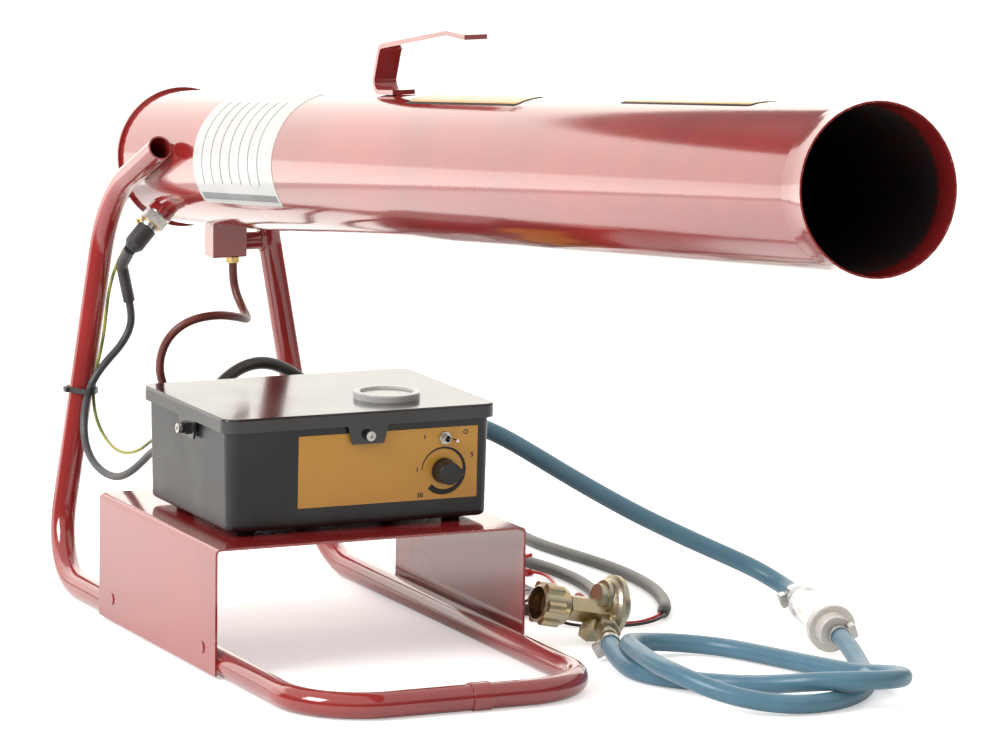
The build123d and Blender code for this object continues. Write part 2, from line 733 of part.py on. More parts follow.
# solenoid valve: a body on the floor of the box, with an upright coil can round a sliding plunger
valve_x = -22.0
valve_y = 380.0
valve_body = (28.0, 34.0, 20.0)
can_od = 28.0
can_height = 36.0
plunger_od = 9.0
plunger_length = 22.0
plunger_travel = 3.0
plunger_seat = 4.0
with BuildPart() as solenoid_valve:
    with BuildSketch(Plane(origin=(valve_x, valve_y, inner_floor_z))):
        RectangleRounded(valve_body[0], valve_body[1], 2)
    extrude(amount=valve_body[2])
    with BuildSketch(Plane(origin=(valve_x, valve_y, inner_floor_z + valve_body[2]))):
        Circle(can_od / 2)
    extrude(amount=can_height)
    with BuildSketch(Plane(origin=(valve_x, valve_y, inner_floor_z + valve_body[2] - plunger_seat))):
        Circle(plunger_od / 2 + running_fit)
    extrude(amount=plunger_seat + plunger_length + plunger_travel + 1, mode=Mode.SUBTRACT)
solenoid_valve.part.label = "solenoid_valve"
export_step(solenoid_valve.part, "parts/solenoid_valve.step")

with BuildPart() as valve_plunger:
    with BuildSketch(Plane(origin=(valve_x, valve_y, inner_floor_z + valve_body[2] - plunger_seat))):
        Circle(plunger_od / 2)
    extrude(amount=plunger_length)
valve_plunger.part.label = "valve_plunger"
export_step(valve_plunger.part, "parts/valve_plunger.step")

# ---------------------------------------------------------------- fittings in the box walls
gland_nut = 17.0
gland_length = 10.0
outlet_nut = 12.0
outlet_length = 8.0
port_nut = 20.0
port_length = 20.0


def wall_fitting(plane, thread_od, nut_across, reach, dome_od, wall):
    """Threaded fitting through a wall: a hex against it outside and a round dome beyond."""
    with BuildPart() as fitting:
        with BuildSketch(plane.offset(-wall - 5)):
            Circle(thread_od / 2)
        extrude(amount=wall + 5)
        with BuildSketch(plane):
            RegularPolygon(nut_across / 2, 6, major_radius=False)
        extrude(amount=reach * 0.4)
        with BuildSketch(plane.offset(reach * 0.4)):
            Circle(nut_across / 2 * 0.96)
        with BuildSketch(plane.offset(reach)):
            Circle(dome_od / 2)
        loft()
    return fitting.part


gland_plane = Plane(origin=(gland_x, rear_wall_y(gland_z) + wall_seat, gland_z), z_dir=(0, 1, 0))
battery_gland = wall_fitting(gland_plane, gland_thread_od, gland_nut, gland_length, lead_od + 2.5, box_wall)
battery_gland.label = "battery_gland"
export_step(battery_gland, "parts/battery_gland.step")

outlet_plane = Plane(origin=(outlet_x, rear_wall_y(outlet_z) + wall_seat, outlet_z), z_dir=(0, 1, 0))
gas_outlet = wall_fitting(
    outlet_plane, outlet_thread_od, outlet_nut, outlet_length, chamber_hose_od + 1.5, box_wall
)
gas_outlet.label = "gas_outlet"
export_step(gas_outlet, "parts/gas_outlet.step")

port_plane = Plane(
    origin=(right_wall_x(gas_port_z) + wall_seat, gas_port_y, gas_port_z), x_dir=(0, 1, 0), z_dir=(1, 0, 0)
)
gas_port = wall_fitting(port_plane, gas_port_od, port_nut, port_length, hose_od + 2.5, box_wall)
gas_port.label = "gas_port"
export_step(gas_port, "parts/gas_port.step")

# rubber grommets with a sleeve, for the spark lead and the earth wire
grommet_reach = 8.0
with BuildPart() as wire_grommets:
    for hole_x, hole_z, wire in (
        (lead_hole_x, lead_hole_z, ignition_od),
        (earth_hole_x, earth_hole_z, earth_od),
    ):
        grommet_plane = Plane(origin=(hole_x, rear_wall_y(hole_z) + clearance, hole_z), z_dir=(0, 1, 0))
        with BuildSketch(grommet_plane.offset(-box_wall)):
            Circle(wire / 2 + 1)
        extrude(amount=box_wall)
        with BuildSketch(grommet_plane):
            Circle(wire / 2 + 2.5)
        extrude(amount=grommet_reach, taper=8)
wire_grommets.part.label = "wire_grommets"
export_step(wire_grommets.part, "parts/wire_grommets.step")

# ---------------------------------------------------------------- spark plug
boss_od = 24.0
boss_rise = 7.0
plug_hex = 20.8
plug_hex_height = 9.0
plug_washer_od = 19.0
plug_washer = 1.6
plug_collar_od = 17.0
plug_collar = 5.0
insulator_od = 10.0
plug_nose = 0.8              # reach of the thread into the wall, flush with the bore
electrode_set_back = 1.6     # of the insulator's end from the thread's end

plug_base = barrel_plane(plug_distance, plug_angle, barrel_r)
hex_start = boss_rise + plug_washer
collar_start = hex_start + plug_hex_height
with BuildPart() as plug_boss:
    with BuildSketch(plug_base.offset(-4)):
        Circle(boss_od / 2)
        Circle(plug_thread_od / 2, mode=Mode.SUBTRACT)
    extrude(amount=boss_rise + 4)
    with BuildSketch(Plane(origin=barrel_rear, z_dir=barrel_dir)):
        Circle(barrel_r)
    extrude(amount=barrel_length / 4, mode=Mode.SUBTRACT)
plug_boss.part.label = "plug_boss"
export_step(plug_boss.part, "parts/plug_boss.step")

with BuildPart() as spark_plug:
    with BuildSketch(plug_base.offset(-plug_nose)):
        Circle(plug_thread_od / 2)
    extrude(amount=plug_nose + boss_rise)
    with BuildSketch(plug_base.offset(boss_rise)):
        Circle(plug_washer_od / 2)
    extrude(amount=plug_washer)
    with BuildSketch(plug_base.offset(hex_start)):
        RegularPolygon(plug_hex / 2, 6, major_radius=False)
    extrude(amount=plug_hex_height)
    with BuildSketch(plug_base.offset(collar_start)):
        Circle(plug_collar_od / 2)
    extrude(amount=plug_collar, taper=12)
    with BuildSketch(plug_base.offset(-plug_nose)):
        Circle(insulator_od / 2)
    extrude(amount=plug_nose + collar_start + plug_collar, mode=Mode.SUBTRACT)
spark_plug.part.label = "spark_plug"
export_step(spark_plug.part, "parts/spark_plug.step")

insulator_start = electrode_set_back - plug_nose
insulator_end = collar_start + plug_collar
electrode_od = 2.4
with BuildPart() as plug_insulator:
    with BuildSketch(plug_base.offset(insulator_start)):
        Circle(insulator_od / 2)
    extrude(amount=insulator_end - insulator_start)
    with BuildSketch(plug_base.offset(insulator_start)):
        Circle(electrode_od / 2)
    extrude(amount=-electrode_set_back)
plug_insulator.part.label = "plug_insulator"
export_step(plug_insulator.part, "parts/plug_insulator.step")

# earth tab: a plate under the plug's washer seat, bent up to the ring terminal
tab_reach = 24.0
tab_plate_width = 13.0
tab_plate_gauge = 1.2
with BuildPart() as earth_tab:
    with BuildSketch(plug_base.offset(collar_start)):
        with Locations((-tab_reach / 2, 0)):
            Rectangle(tab_reach, tab_plate_width)
        Circle(plug_hex / 2)
        Circle(plug_collar_od / 2 + clearance, mode=Mode.SUBTRACT)
    extrude(amount=tab_plate_gauge)
earth_tab.part.label = "earth_tab"
export_step(earth_tab.part, "parts/earth_tab.step")

# rubber boot: a thick sleeve on the plug, a neck and a bent tail that holds the lead
boot_od = 18.0
boot_neck_od = 10.5
boot_length = 19.0
boot_bend_place = (-17.7, -8.5, 59.0)    # both in the plug's own frame
boot_end_place = (-32.8, -39.1, 75.0)
boot_start = plug_base.offset(insulator_end)
boot_shoulder = boot_start.offset(boot_length)
neck_start = boot_shoulder.offset(6.0)
lead_start = plug_base.from_local_coords(Vector(*boot_end_place))
neck_bend = plug_base.from_local_coords(Vector(*boot_bend_place))
with BuildPart() as plug_boot:
    with BuildSketch(boot_start):
        Circle(boot_od / 2)
    extrude(amount=boot_length)
    with BuildSketch(boot_shoulder):
        Circle(boot_od / 2)
    with BuildSketch(neck_start):
        Circle(boot_neck_od / 2)
    loft()
    with BuildLine() as neck_route:
        FilletPolyline(neck_start.origin, neck_bend, lead_start, radius=12)
    with BuildSketch(Plane(origin=neck_start.origin, z_dir=neck_route.line % 0)):
        Circle(boot_neck_od / 2)
    sweep(path=neck_route.wire())
plug_boot.part.label = "plug_boot"
export_step(plug_boot.part, "parts/plug_boot.step")

# ring terminal crimped on the earth wire, on the end of the tab
terminal_od = 11.0
terminal_gauge = 1.6
crimp_od = 6.0
tab_end = plug_base.offset(collar_start + tab_plate_gauge).from_local_coords(Vector(-tab_reach + 5, 0, 0))
crimp_start = tab_end + plug_base.z_dir * (crimp_od / 2)
earth_dir = (plug_base.z_dir * 0.55 - barrel_dir * 0.75 + Vector(0, 0, -0.45)).normalized()
crimp_length = 13.0
earth_start = crimp_start + earth_dir * crimp_length
with BuildPart() as earth_terminal:
    with BuildSketch(Plane(origin=tab_end, x_dir=barrel_dir, z_dir=plug_base.z_dir)):
        Circle(terminal_od / 2)
    extrude(amount=terminal_gauge)
    with BuildSketch(Plane(origin=crimp_start, z_dir=earth_dir)):
        Circle(crimp_od / 2)
    extrude(amount=crimp_length)
earth_terminal.part.label = "earth_terminal"
export_step(earth_terminal.part, "parts/earth_terminal.step")

# ---------------------------------------------------------------- gas inlet under the barrel
inlet_size = (32.0, 20.0)
inlet_bottom_z = barrel_rear_height - 75.8
side_fitting_od = 16.0
side_fitting_reach = 20.0
side_fitting_rim = 4.0
side_fitting_drop = 14.0     # below the barrel's belly
nipple_x = 5.0
nipple_y = 549.0
nipple_nut = 11.0
nipple_length = 5.0
inlet_top_z = barrel_rear_height + (barrel_rear_y - inlet_y) * pitch_sin / pitch_cos
side_port_z = inlet_top_z - barrel_r / pitch_cos - side_fitting_drop
side_plane = Plane(origin=(inlet_size[0] / 2, inlet_y, side_port_z), z_dir=(1, 0, 0))
with BuildPart() as inlet_block:
    with BuildSketch(Plane(origin=(0, inlet_y, inlet_bottom_z))):
        Rectangle(*inlet_size)
    extrude(amount=inlet_top_z - inlet_bottom_z - barrel_r * 0.8)
    with BuildSketch(Plane(origin=barrel_rear, z_dir=barrel_dir)):
        Circle(barrel_r)
    extrude(amount=barrel_length / 4, mode=Mode.SUBTRACT)
    fillet(faces().sort_by(Axis.Z)[0].edges(), 1.2)
    # side port with a hexagonal plug
    with BuildSketch(side_plane):
        Circle(side_fitting_od / 2)
    extrude(amount=side_fitting_reach)
    with BuildSketch(side_plane.offset(side_fitting_reach - side_fitting_rim)):
        RegularPolygon(side_fitting_od / 2 + 0.6, 6, major_radius=False)
    extrude(amount=side_fitting_rim)
inlet_block.part.label = "inlet_block"
export_step(inlet_block.part, "parts/inlet_block.step")

with BuildPart() as inlet_nipple:
    with BuildSketch(Plane(origin=(nipple_x, nipple_y, inlet_bottom_z), z_dir=(0, 0, -1))):
        RegularPolygon(nipple_nut / 2, 6, major_radius=False)
    extrude(amount=nipple_length)
inlet_nipple.part.label = "inlet_nipple"
export_step(inlet_nipple.part, "parts/inlet_nipple.step")

# ---------------------------------------------------------------- gas regulator, lying beside the stand
disc_od = 55.0
disc_centre = Vector(239.0, 251.0, 28.0)
reg_axis_dir = Vector(-0.974, -0.068, 0.215).normalized()
reg_plane = Plane(origin=disc_centre, x_dir=(0.0697, -0.9976, 0), z_dir=reg_axis_dir)
neck_drop = 6.0              # of the inlet's axis below the middle of the disc
neck_across = 21.0
neck_start_z = 12.0
neck_end_z = 44.0
inlet_nut_od = 40.0
nut_start_z = 47.0
nut_depth = 27.0
nut_bore_od = 28.0
nut_bore_depth = 20.0
nut_thread_depth = 14.0      # full width of the bore, from its mouth
nut_seat_od = 24.0           # below the thread, round the cone of the stem
stem_od = 12.0
stem_cone_od = 18.0
stem_cone = 5.0
lug_count = 6
bonnet_od = 30.0
bonnet_rise = 9.0
bonnet_shift = 7.0

neck_plane = Plane(
    origin=reg_plane.from_local_coords(Vector(0, -neck_drop, 0)), x_dir=reg_plane.x_dir, z_dir=reg_axis_dir
)
disc_section = Plane(
    origin=disc_centre, x_dir=reg_plane.y_dir, z_dir=reg_plane.y_dir.cross(reg_axis_dir)
)
with BuildPart() as regulator_body:
    # two pressed half shells with a rolled rim, turned about the disc's axis
    with BuildSketch(disc_section):
        with BuildLine():
            Polyline(
                (0, -13),
                (14, -12),
                (19, -6),
                (disc_od / 2 - 3, -3.4),
                (disc_od / 2, -2.2),
                (disc_od / 2, 2.2),
                (disc_od / 2 - 3, 3.4),
                (disc_od / 2 - 5.5, 5.5),
                (17, 8),
                (0, 8),
                (0, -13),
            )
        make_face()
    revolve(axis=Axis(disc_centre, reg_axis_dir))
    with BuildSketch(neck_plane):
        RegularPolygon(neck_across / 2, 6, major_radius=False)
    extrude(amount=neck_end_z)
regulator_body.part.label = "regulator_body"
export_step(regulator_body.part, "parts/regulator_body.step")

# spring cap on the disc's outer face, beside the inlet neck
with BuildPart() as regulator_cap:
    with BuildSketch(reg_plane.offset(8)):
        with Locations((0, bonnet_shift)):
            Circle(bonnet_od / 2)
    extrude(amount=bonnet_rise * 0.4)
    with BuildSketch(reg_plane.offset(8 + bonnet_rise * 0.4)):
        with Locations((0, bonnet_shift)):
            Circle(bonnet_od * 0.4)
    extrude(amount=bonnet_rise * 0.6, taper=10)
    with BuildSketch(neck_plane):
        RegularPolygon(neck_across / 2, 6, major_radius=False)
    extrude(amount=neck_end_z, mode=Mode.SUBTRACT)
regulator_cap.part.label = "regulator_cap"
export_step(regulator_cap.part, "parts/regulator_cap.step")

# threaded stem that the inlet nut turns on
with BuildPart() as inlet_stem:
    with BuildSketch(neck_plane.offset(neck_end_z)):
        Circle(stem_od / 2)
    extrude(amount=nut_start_z + nut_depth - nut_bore_depth - neck_end_z)
    with BuildSketch(neck_plane.offset(nut_start_z + nut_depth - nut_bore_depth + clearance)):
        Circle(stem_cone_od / 2)
    extrude(amount=stem_cone, taper=20)
    with BuildSketch(neck_plane.offset(nut_start_z + nut_depth - nut_bore_depth)):
        Circle(stem_od / 2)
    extrude(amount=clearance)
inlet_stem.part.label = "inlet_stem"
export_step(inlet_stem.part, "parts/inlet_stem.step")

with BuildPart() as inlet_nut:
    with BuildSketch(neck_plane.offset(nut_start_z)):
        Circle(inlet_nut_od / 2 - 4)
    extrude(amount=nut_depth)
    chamfer(edges().filter_by(GeomType.CIRCLE), 1.5)
    # round lugs that give a grip
    with BuildSketch(neck_plane.offset(nut_start_z + nut_depth * 0.3)):
        with PolarLocations(inlet_nut_od / 2 - 5, lug_count):
            Circle(5.0)
    extrude(amount=nut_depth * 0.62)
    with BuildSketch(neck_plane.offset(nut_start_z + nut_depth)):
        Circle(nut_bore_od / 2)
    extrude(amount=-nut_thread_depth, mode=Mode.SUBTRACT)
    with BuildSketch(neck_plane.offset(nut_start_z + nut_depth)):
        Circle(nut_seat_od / 2)
    extrude(amount=-nut_bore_depth, mode=Mode.SUBTRACT)
    with BuildSketch(neck_plane.offset(nut_start_z)):
        Circle(stem_od / 2 + running_fit)
    extrude(amount=nut_depth, mode=Mode.SUBTRACT)
inlet_nut.part.label = "inlet_nut"
export_step(inlet_nut.part, "parts/inlet_nut.step")

# outlet: a stub out of the body, a hex union and a barb that ends where the hose starts
outlet_root = Vector(231.0, 244.0, 17.0)
reg_hose_end = Vector(202.0, 176.0, 15.0)
outlet_dir = (reg_hose_end - outlet_root).normalized()
outlet_reach = (reg_hose_end - outlet_root).length
union_across = 19.0
barb_length = 12.0
# pale hex plug on the underside of the neck
test_plug_root = neck_plane.from_local_coords(Vector(4.0, -neck_across / 2 + 1, 18.0))
test_plug_dir = Vector(-0.45, -0.62, -0.64).normalized()
test_plug_across = 18.0
test_plug_shank = 6.0
test_plug_head = 8.0
with BuildPart() as regulator_outlet:
    with BuildSketch(Plane(origin=outlet_root, z_dir=outlet_dir)):
        Circle(union_across / 2 - 2)
    extrude(amount=outlet_reach - barb_length)
    with BuildSketch(Plane(origin=outlet_root + outlet_dir * (outlet_reach * 0.45), z_dir=outlet_dir)):
        RegularPolygon(union_across / 2, 6, major_radius=False)
    extrude(amount=barb_length)
    with BuildSketch(Plane(origin=reg_hose_end - outlet_dir * barb_length, z_dir=outlet_dir)):
        Circle(hose_bore / 2 + 2)
    extrude(amount=barb_length)
    with BuildSketch(Plane(origin=test_plug_root, z_dir=test_plug_dir)):
        Circle(test_plug_across / 3)
    extrude(amount=test_plug_shank)
    with BuildSketch(Plane(origin=test_plug_root + test_plug_dir * test_plug_shank, z_dir=test_plug_dir)):
        RegularPolygon(test_plug_across / 2, 6, major_radius=False)
    extrude(amount=test_plug_head)
    add(regulator_body.part, mode=Mode.SUBTRACT)
regulator_outlet.part.label = "regulator_outlet"
export_step(regulator_outlet.part, "parts/regulator_outlet.step")

# ---------------------------------------------------------------- inline gas filter
filter_rear = Vector(403.0, 216.0, 31.0)
filter_front = Vector(385.0, 109.0, 21.8)
filter_dir = (filter_front - filter_rear).normalized()
filter_length = (filter_front - filter_rear).length
filter_od = 30.0
filter_flange_od = 42.0
filter_flange = 9.0
filter_collar_od = 31.0
filter_collar = 12.0
filter_neck_od = 20.0
filter_neck = 12.0
flange_start = filter_length - filter_collar - filter_flange
filter_turn = Axis(filter_rear, filter_dir)


def turned(section, axis, outline):
    """Solid of revolution; the outline gives radius and distance along the axis."""
    with BuildPart() as solid:
        with BuildSketch(section):
            with BuildLine():
                Polyline((0, outline[0][1]), *outline, (0, outline[-1][1]), (0, outline[0][1]))
            make_face()
        revolve(axis=axis)
    return solid.part


def axial_section(origin, direction):
    """Sketch plane for turning: x points out from the axis and y runs along it."""
    out = Vector(0, 0, 1) - direction * direction.Z
    return Plane(origin=origin, x_dir=out, z_dir=out.normalized().cross(direction))


filter_profile_plane = axial_section(filter_rear, filter_dir)
filter_bowl = turned(
    filter_profile_plane,
    filter_turn,
    [
        (filter_neck_od / 2, 0),
        (filter_neck_od / 2, filter_neck),
        (filter_od / 2, filter_neck + 8),
        (filter_od / 2, flange_start),
    ],
)
filter_bowl.label = "filter_bowl"
export_step(filter_bowl, "parts/filter_bowl.step")

filter_cap = turned(
    filter_profile_plane,
    filter_turn,
    [
        (filter_flange_od / 2 - 1, flange_start),
        (filter_flange_od / 2, flange_start + 1),
        (filter_flange_od / 2, flange_start + filter_flange - 1),
        (filter_flange_od / 2 - 1, flange_start + filter_flange),
        (filter_collar_od / 2, flange_start + filter_flange),
        (filter_collar_od / 2 - 1.5, filter_length),
    ],
)
filter_cap.label = "filter_cap"
export_step(filter_cap, "parts/filter_cap.step")

clamp_gauge = 1.0
clamp_width = 9.0
clamp_fit = 0.1
clamp_housing = (7.0, 12.0)


def hose_clamp(centre, direction, hose_diameter, housing_angle):
    """Worm-drive clamp: a band round a hose and a screw housing on its outside."""
    plane = Plane(origin=centre, x_dir=(direction.Y, -direction.X, 0), z_dir=direction)
    band_r = hose_diameter / 2 + clamp_fit
    with BuildPart() as clamp:
        with BuildSketch(plane):
            Circle(band_r + clamp_gauge)
            with PolarLocations(band_r + clamp_housing[0] / 2, 1, start_angle=housing_angle):
                RectangleRounded(clamp_housing[0], clamp_housing[1], 1.5)
            Circle(band_r, mode=Mode.SUBTRACT)
        extrude(amount=clamp_width / 2, both=True)
    return clamp.part


# ---------------------------------------------------------------- cords and hoses
# Hand-laid routes: each list holds the corners of a tube of straight runs and tangent arcs.
run_share = 0.45             # part of a run that one arc may take


def cord_tube(route, diameter, name):
    """Tube along a route; each arc is as large as its two runs allow."""
    corners = [Vector(*point) for point in route]
    runs = [corners[i + 1] - corners[i] for i in range(len(corners) - 1)]
    radii = []
    for before, after in zip(runs[:-1], runs[1:]):
        half_turn = radians(before.get_angle(after)) / 2
        radii.append(run_share * min(before.length, after.length) / tan(half_turn))
    with BuildLine() as line:
        FilletPolyline(*corners, radius=radii)
    path = line.wire()
    with BuildPart() as tube:
        with BuildSketch(Plane(origin=path @ 0, z_dir=path % 0)):
            Circle(diameter / 2)
        sweep(path=path)
    expected = pi * diameter ** 2 / 4 * path.length
    print(
        f"{name}: length {path.length:.0f}, least radius {min(radii):.1f} "
        f"({min(radii) / diameter:.1f} diameters), volume over section times length "
        f"{tube.part.volume / expected:.4f}"
    )
    print("   radii", " ".join(f"{radius:.0f}" for radius in radii))
    return tube.part


lead_exit_y = rear_wall_y(lead_hole_z) + clearance + grommet_reach
earth_exit_y = rear_wall_y(earth_hole_z) + clearance + grommet_reach
outlet_exit_y = rear_wall_y(outlet_z) + wall_seat + outlet_length
gland_exit_y = rear_wall_y(gland_z) + wall_seat + gland_length
port_exit_x = right_wall_x(gas_port_z) + wall_seat + port_length

ignition_route = [
    tuple(lead_start),
    (-59.5, 630.3, 245),
    (-60, 632, 230),
    (-70, 630.5, 215),
    (-84, 627.5, 203),
    (-97, 626.5, 188),
    (-103.5, 627.5, 170),
    (-107, 625, 152),
    (-110, 615, 134),
    (-110.5, 597, 120),
    (-108, 573, 112),
    (-105, 546, 112),
    (-102, 522, 121),
    (-99, 502, 133.5),
    (-97.5, 485, 144.5),
    (-97, 469.5, 151),
    (lead_hole_x, lead_exit_y, lead_hole_z),
]
earth_route = [
    tuple(earth_start),
    (-63.2, 633.7, 305.3),
    (-69, 637, 293),
    (-75, 637, 279),
    (-79.5, 636, 263),
    (-82, 635.3, 245),
    (-84.5, 634.6, 225),
    (-88.5, 635, 206),
    (-92.5, 634.4, 189),
    (-95.5, 632.2, 172),
    (-96.5, 624, 155),
    (-97, 607, 143),
    (-98, 585, 136),
    (-99, 559, 133),
    (-98.5, 533, 136),
    (-97, 511, 143),
    (-95, 492.5, 153),
    (-93.5, 477, 160.5),
    (-93, 464, 163),
    (earth_hole_x, earth_exit_y, earth_hole_z),
]
chamber_route = [
    (nipple_x, nipple_y, inlet_bottom_z - nipple_length),
    (5, 549, 288),
    (6, 546, 274),
    (8, 535, 261),
    (6, 517, 254),
    (-3, 497, 256),
    (-19, 481, 261.5),
    (-41, 471, 266),
    (-64.5, 470.5, 263.5),
    (-79, 476.5, 253.5),
    (-86.5, 483.5, 239),
    (-88, 490, 221.5),
    (-84, 493.5, 205),
    (-78.5, 488, 190.5),
    (-74.6, 473.5, 181),
    (outlet_x, outlet_exit_y, outlet_z),
]
battery_route = [
    (gland_x, gland_exit_y, gland_z),
    (-46, 470, 188),
    (-39.6, 485.4, 191.3),
    (-28, 497, 199.5),
    (-12.5, 503, 208.5),
    (3.5, 505, 214.5),
    (20.5, 505, 215),
    (37, 504.5, 209),
    (53, 503.5, 198),
    (70, 503, 186),
    (88, 502.5, 173),
    (107, 502.5, 156.5),
    (126, 502.5, 135.5),
    (142, 502, 110),
    (156, 498.5, 83),
    (166, 488, 56),
    (172, 471, 31),
    (175, 446, 13),
    (178, 415, 6),
    (190, 381, 5.7),
    (215, 356, 5.6),
    (249, 350, 5.6),
    (278, 369, 5.6),
    (297, 402, 5.6),
    (306, 441, 5.6),
    (309, 486, 5.6),
    (306, 531, 5.6),
    (295, 579, 5.6),
    (275, 625, 5.6),
    (257, 668, 5.6),
    (256, 711, 5.6),
    (279, 746, 5.6),
    (320, 752, 5.6),
    (346, 722, 5.6),
    (348, 679, 5.6),
    (345, 635, 5.6),
    (350, 590, 5.6),
    (357, 545, 5.6),
    (362, 500, 5.6),
    (362, 455, 5.6),
    (357, 410, 5.6),
    (346, 368, 5.6),
    (333, 334, 5.6),
    (320, 312, 5.6),
]
box_hose_route = [
    (port_exit_x, gas_port_y, gas_port_z),
    (164, 407, 168.5),
    (182, 403, 164.5),
    (202, 394, 154.5),
    (223, 381.5, 141),
    (246, 367, 125.5),
    (274, 349.5, 107.5),
    (306, 331, 88.5),
    (341, 312, 70.5),
    (368, 297, 57.5),
    (390.5, 279, 46.5),
    (402.8, 258.5, 37.6),
    (406.5, 236.6, 32.6),
    tuple(filter_rear),
]
long_hose_route = [
    tuple(filter_front),
    (381.5, 88, 20),
    (376, 62, 15.5),
    (367, 29, 9),
    (354, -8, 8.2),
    (330, -44, 8.1),
    (297, -69, 8.2),
    (257, -76, 8.4),
    (222, -60, 11),
    (196, -34, 17),
    (181, 0, 24.5),
    (179, 38, 25),
    (184, 75, 25),
    (190.5, 108, 24),
    (200, 136, 21.5),
    (213.5, 157.5, 17.5),
    (235, 171, 13.5),
    (260.5, 173, 10.5),
    (284, 162.5, 8.8),
    (301, 143, 8.3),
    (312, 120, 8.2),
    (321.5, 96, 8.3),
    (334, 66, 8.2),
    (346, 38, 8.2),
    (357, 11, 9),
    (371, -16, 13),
    (367.5, -48, 18),
    (345, -72, 22.5),
    (312, -78, 25),
    (279, -63, 24),
    (255, -32, 17),
    (238, 5, 10.5),
    (216, 37, 8.2),
    (194, 63, 8.1),
    (184, 95, 8.2),
    (188, 127, 10),
    (193, 154.9, 14.4),
    tuple(reg_hose_end),
]

# battery clips: each rests on the end of its lower handle and on its lower jaw
clip_jaw_length = 28.0
clip_handle_length = 36.0
handle_spread = 10.0         # of a handle's end from the clip's middle line
jaw_height = 4.2
tip_height = 1.6
jaw_depth = jaw_height + tip_height
jaw_crest = clip_jaw_length * 0.55
red_clip_pin = (266.4, 550.8)
red_clip_heading = 126.87    # degrees from +X
black_clip_pin = (234.8, 456.4)
black_clip_heading = -36.87
crimp_drop = 6.3             # of a wire's end below the clip's middle line
clip_tilt = atan2(handle_spread - jaw_depth, clip_handle_length + jaw_crest)
clip_pin_z = handle_spread * cos(clip_tilt) - clip_handle_length * sin(clip_tilt)


def clip_plane(pin_x, pin_y, heading):
    """Side-view plane of a clip: x runs to the tips and y up; the origin is the pin."""
    flat = Vector(cos(radians(heading)), sin(radians(heading)), 0)
    ahead = flat * cos(clip_tilt) - Vector(0, 0, 1) * sin(clip_tilt)
    return Plane(origin=(pin_x, pin_y, clip_pin_z), x_dir=ahead, z_dir=flat.cross(Vector(0, 0, 1)))


red_clip_plane = clip_plane(*red_clip_pin, red_clip_heading)
black_clip_plane = clip_plane(*black_clip_pin, black_clip_heading)
red_crimp = red_clip_plane.from_local_coords(Vector(-clip_handle_length, -crimp_drop, 0))
black_crimp = black_clip_plane.from_local_coords(Vector(-clip_handle_length, -crimp_drop, 0))

red_wire_route = [
    (318.6, 312.8, 5.6),
    (312.8, 303.8, 5.2),
    (302.5, 297.2, 4),
    (289, 294, 2.2),
    (275, 296, 1.6),
    (264.5, 304.5, 1.6),
    (259.5, 319, 2.4),
    (259, 335, 8.5),
    (260, 349.5, 16.2),
    (262, 365.5, 16.2),
    (264, 380, 8.5),
    (267, 395, 2.2),
    (272, 415, 1.6),
    (279, 438, 1.6),
    (286, 461, 1.7),
    (291.5, 482, 2.4),
    (295, 500, 3.2),
    (293.5, 514.5, 3.7),
    tuple(red_crimp),
]
black_wire_route = [
    (321.4, 311.2, 5.6),
    (316.5, 301.4, 5.2),
    (305.5, 291.4, 4),
    (289, 286.5, 2.2),
    (269, 287, 1.6),
    (248, 291, 1.6),
    (231.5, 302, 1.6),
    (222, 318, 2.4),
    (219.5, 333, 8.5),
    (219, 347.5, 16.2),
    (218, 363.5, 16.2),
    (214, 378, 8.5),
    (207.5, 392, 2.4),
    (198, 411, 1.6),
    (187.5, 431, 1.6),
    (179.5, 451, 1.8),
    (177.5, 469, 2.4),
    (184, 483.5, 3.2),
    (196, 485.5, 3.7),
    tuple(black_crimp),
]

for label, route, diameter in (
    ("ignition_lead", ignition_route, ignition_od),
    ("earth_wire", earth_route, earth_od),
    ("chamber_hose", chamber_route, chamber_hose_od),
    ("battery_lead", battery_route, lead_od),
    ("hose_box_to_filter", box_hose_route, hose_od),
    ("hose_filter_to_regulator", long_hose_route, hose_od),
    ("red_wire", red_wire_route, wire_od),
    ("black_wire", black_wire_route, wire_od),
):
    cord = cord_tube(route, diameter, label)
    cord.label = label
    export_step(cord, f"parts/{label}.step")

# ---------------------------------------------------------------- pieces on the cords
long_start = (Vector(*long_hose_route[1]) - filter_front).normalized()
box_end = (filter_rear - Vector(*box_hose_route[-2])).normalized()
reg_end = (reg_hose_end - Vector(*long_hose_route[-2])).normalized()
clamp_set_back = 7.0
front_clamp = hose_clamp(filter_front + long_start * clamp_set_back, long_start, hose_od, 200)
rear_clamp = hose_clamp(filter_rear - box_end * clamp_set_back, box_end, hose_od, 20)
filter_clamps = Compound(children=[front_clamp, rear_clamp])
filter_clamps.label = "filter_clamps"
export_step(filter_clamps, "parts/filter_clamps.step")

regulator_clamp = hose_clamp(reg_hose_end - reg_end * clamp_set_back, reg_end, hose_od, 150)
regulator_clamp.label = "regulator_clamp"
export_step(regulator_clamp, "parts/regulator_clamp.step")

